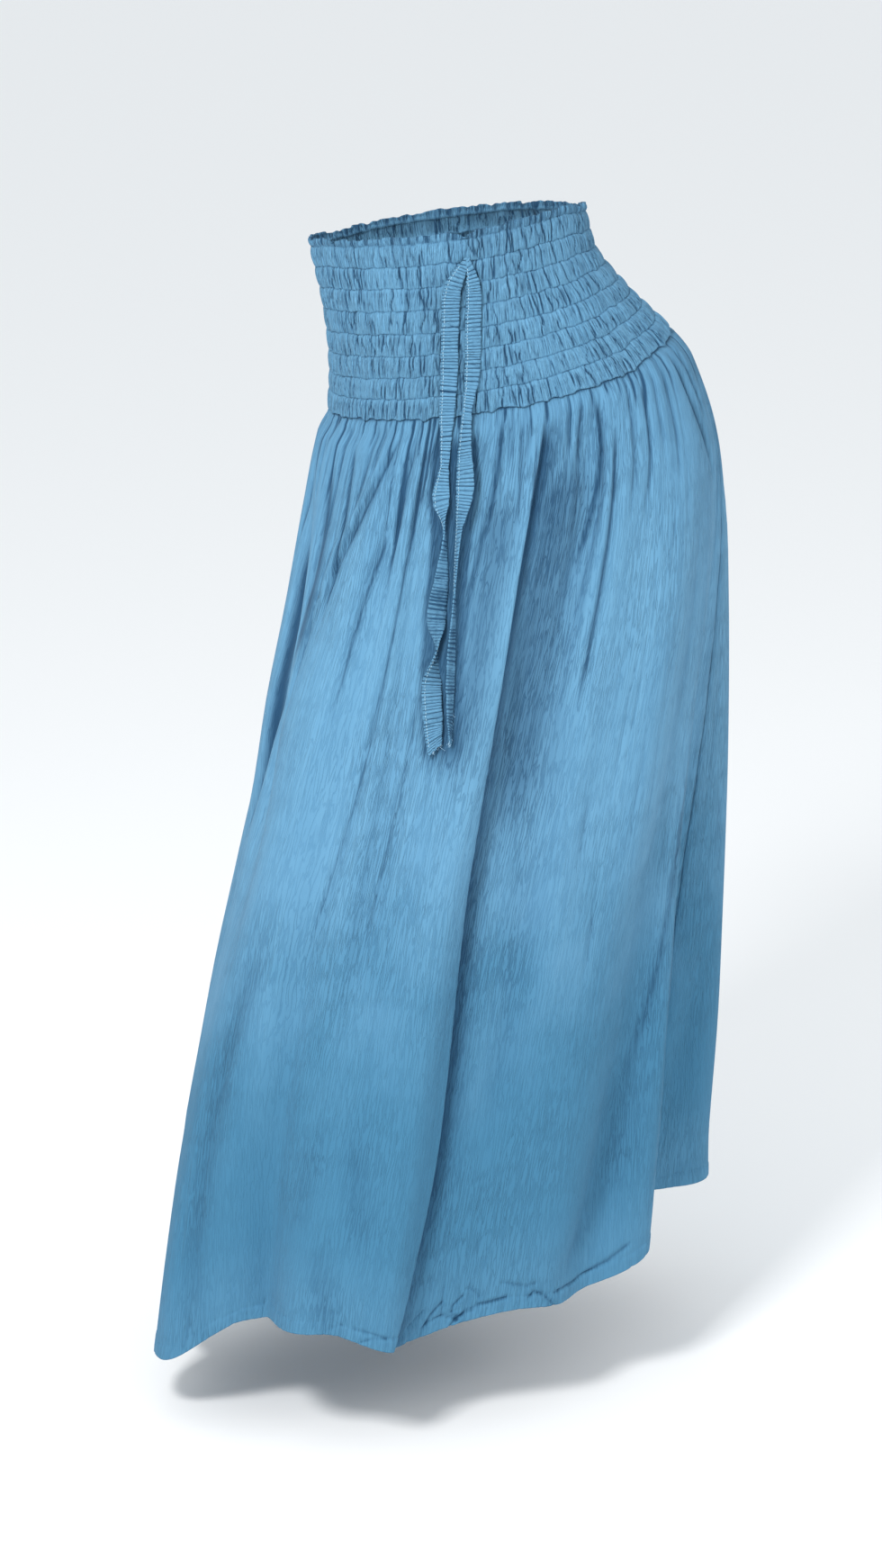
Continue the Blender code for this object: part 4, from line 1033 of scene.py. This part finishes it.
yokeFinish = crinkledCloth("shirredCrinkle", 210, 26, 0.34, 0.1, "yoke")
skirtFinish = crinkledCloth("hangingCrinkle", 150, 7, 0.42, 0.09, "hanging")
tieFinish = crinkledCloth("tieCrinkle", 60, 330, 0.26, 0.08, "tie")
threadFinish = plainThread("sewingThread", cloth["thread"])
frayFinish = plainThread("looseThread", cloth["looseThread"])

for piece, finish in ((yokeFront, yokeFinish), (yokeBack, yokeFinish), (skirtFront, skirtFinish),
                      (skirtBack, skirtFinish), (tieLeft, tieFinish), (tieRight, tieFinish),
                      (stitchingLeft, threadFinish), (stitchingRight, threadFinish),
                      (frayLeft, frayFinish), (frayRight, frayFinish)):
    piece.data.materials.clear()
    piece.data.materials.append(finish)
    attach(piece, "root")

for piece, node, slot in ((yokeFront, "yoke_front", "yoke_cloth"), (yokeBack, "yoke_back", "yoke_cloth"),
                          (skirtFront, "skirt_front", "skirt_cloth"),
                          (skirtBack, "skirt_back", "skirt_cloth"),
                          (tieLeft, "tie_left", "tie_cloth"), (tieRight, "tie_right", "tie_cloth")):
    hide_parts(node)

for piece, threads, shape in ((tieLeft, [stitchingLeft, frayLeft], shapeLeft),
                              (tieRight, [stitchingRight, frayRight], shapeRight)):
    line = shape[1][::6, :3] * mm
    tuple(line[0])
    float(shape[0][-1] * mm)
    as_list(threads)

print("floor and light")
studio = {
    "floor": -1.09,
    "floorColour": (0.93, 0.93, 0.93, 1),
    "floorRoughness": 0.9,
    "sky": 0.9,
    "skyColour": (0.93, 0.97, 1, 1),
    "aim": (0, 0, -0.45),
    # the place, size and power of each soft light
    "keyLight": ((-0.85, -1.92, 1.35), 0.5, 58),
    "fillLight": ((2.1, -0.9, 0.6), 0.9, 12),
}
bpy.ops.mesh.primitive_plane_add(size=60, location=(0, 0, studio["floor"]))
floor = bpy.context.object
floor.name = "floor"
ground = bpy.data.materials.new("paleFloor")
ground.use_nodes = True
ground.node_tree.nodes["Principled BSDF"].inputs["Base Color"].default_value = studio["floorColour"]
ground.node_tree.nodes["Principled BSDF"].inputs["Roughness"].default_value = studio["floorRoughness"]
floor.data.materials.append(ground)

world = bpy.data.worlds.new("studio")
bpy.context.scene.world = world
world.use_nodes = True
world.node_tree.nodes["Background"].inputs["Color"].default_value = studio["skyColour"]
world.node_tree.nodes["Background"].inputs["Strength"].default_value = studio["sky"]


def softLight(name, place, size, power):
    bpy.ops.object.light_add(type="AREA", location=place)
    light = bpy.context.object
    light.name = name
    light.data.size = size
    light.data.energy = power
    aim = np.array(place) - np.array(studio["aim"])
    level = math.hypot(aim[0], aim[1])
    light.rotation_euler = (math.atan2(level, aim[2]), 0, math.atan2(aim[1], aim[0]) + math.pi / 2)


for lightName in ("keyLight", "fillLight"):
    softLight(lightName, *studio[lightName])
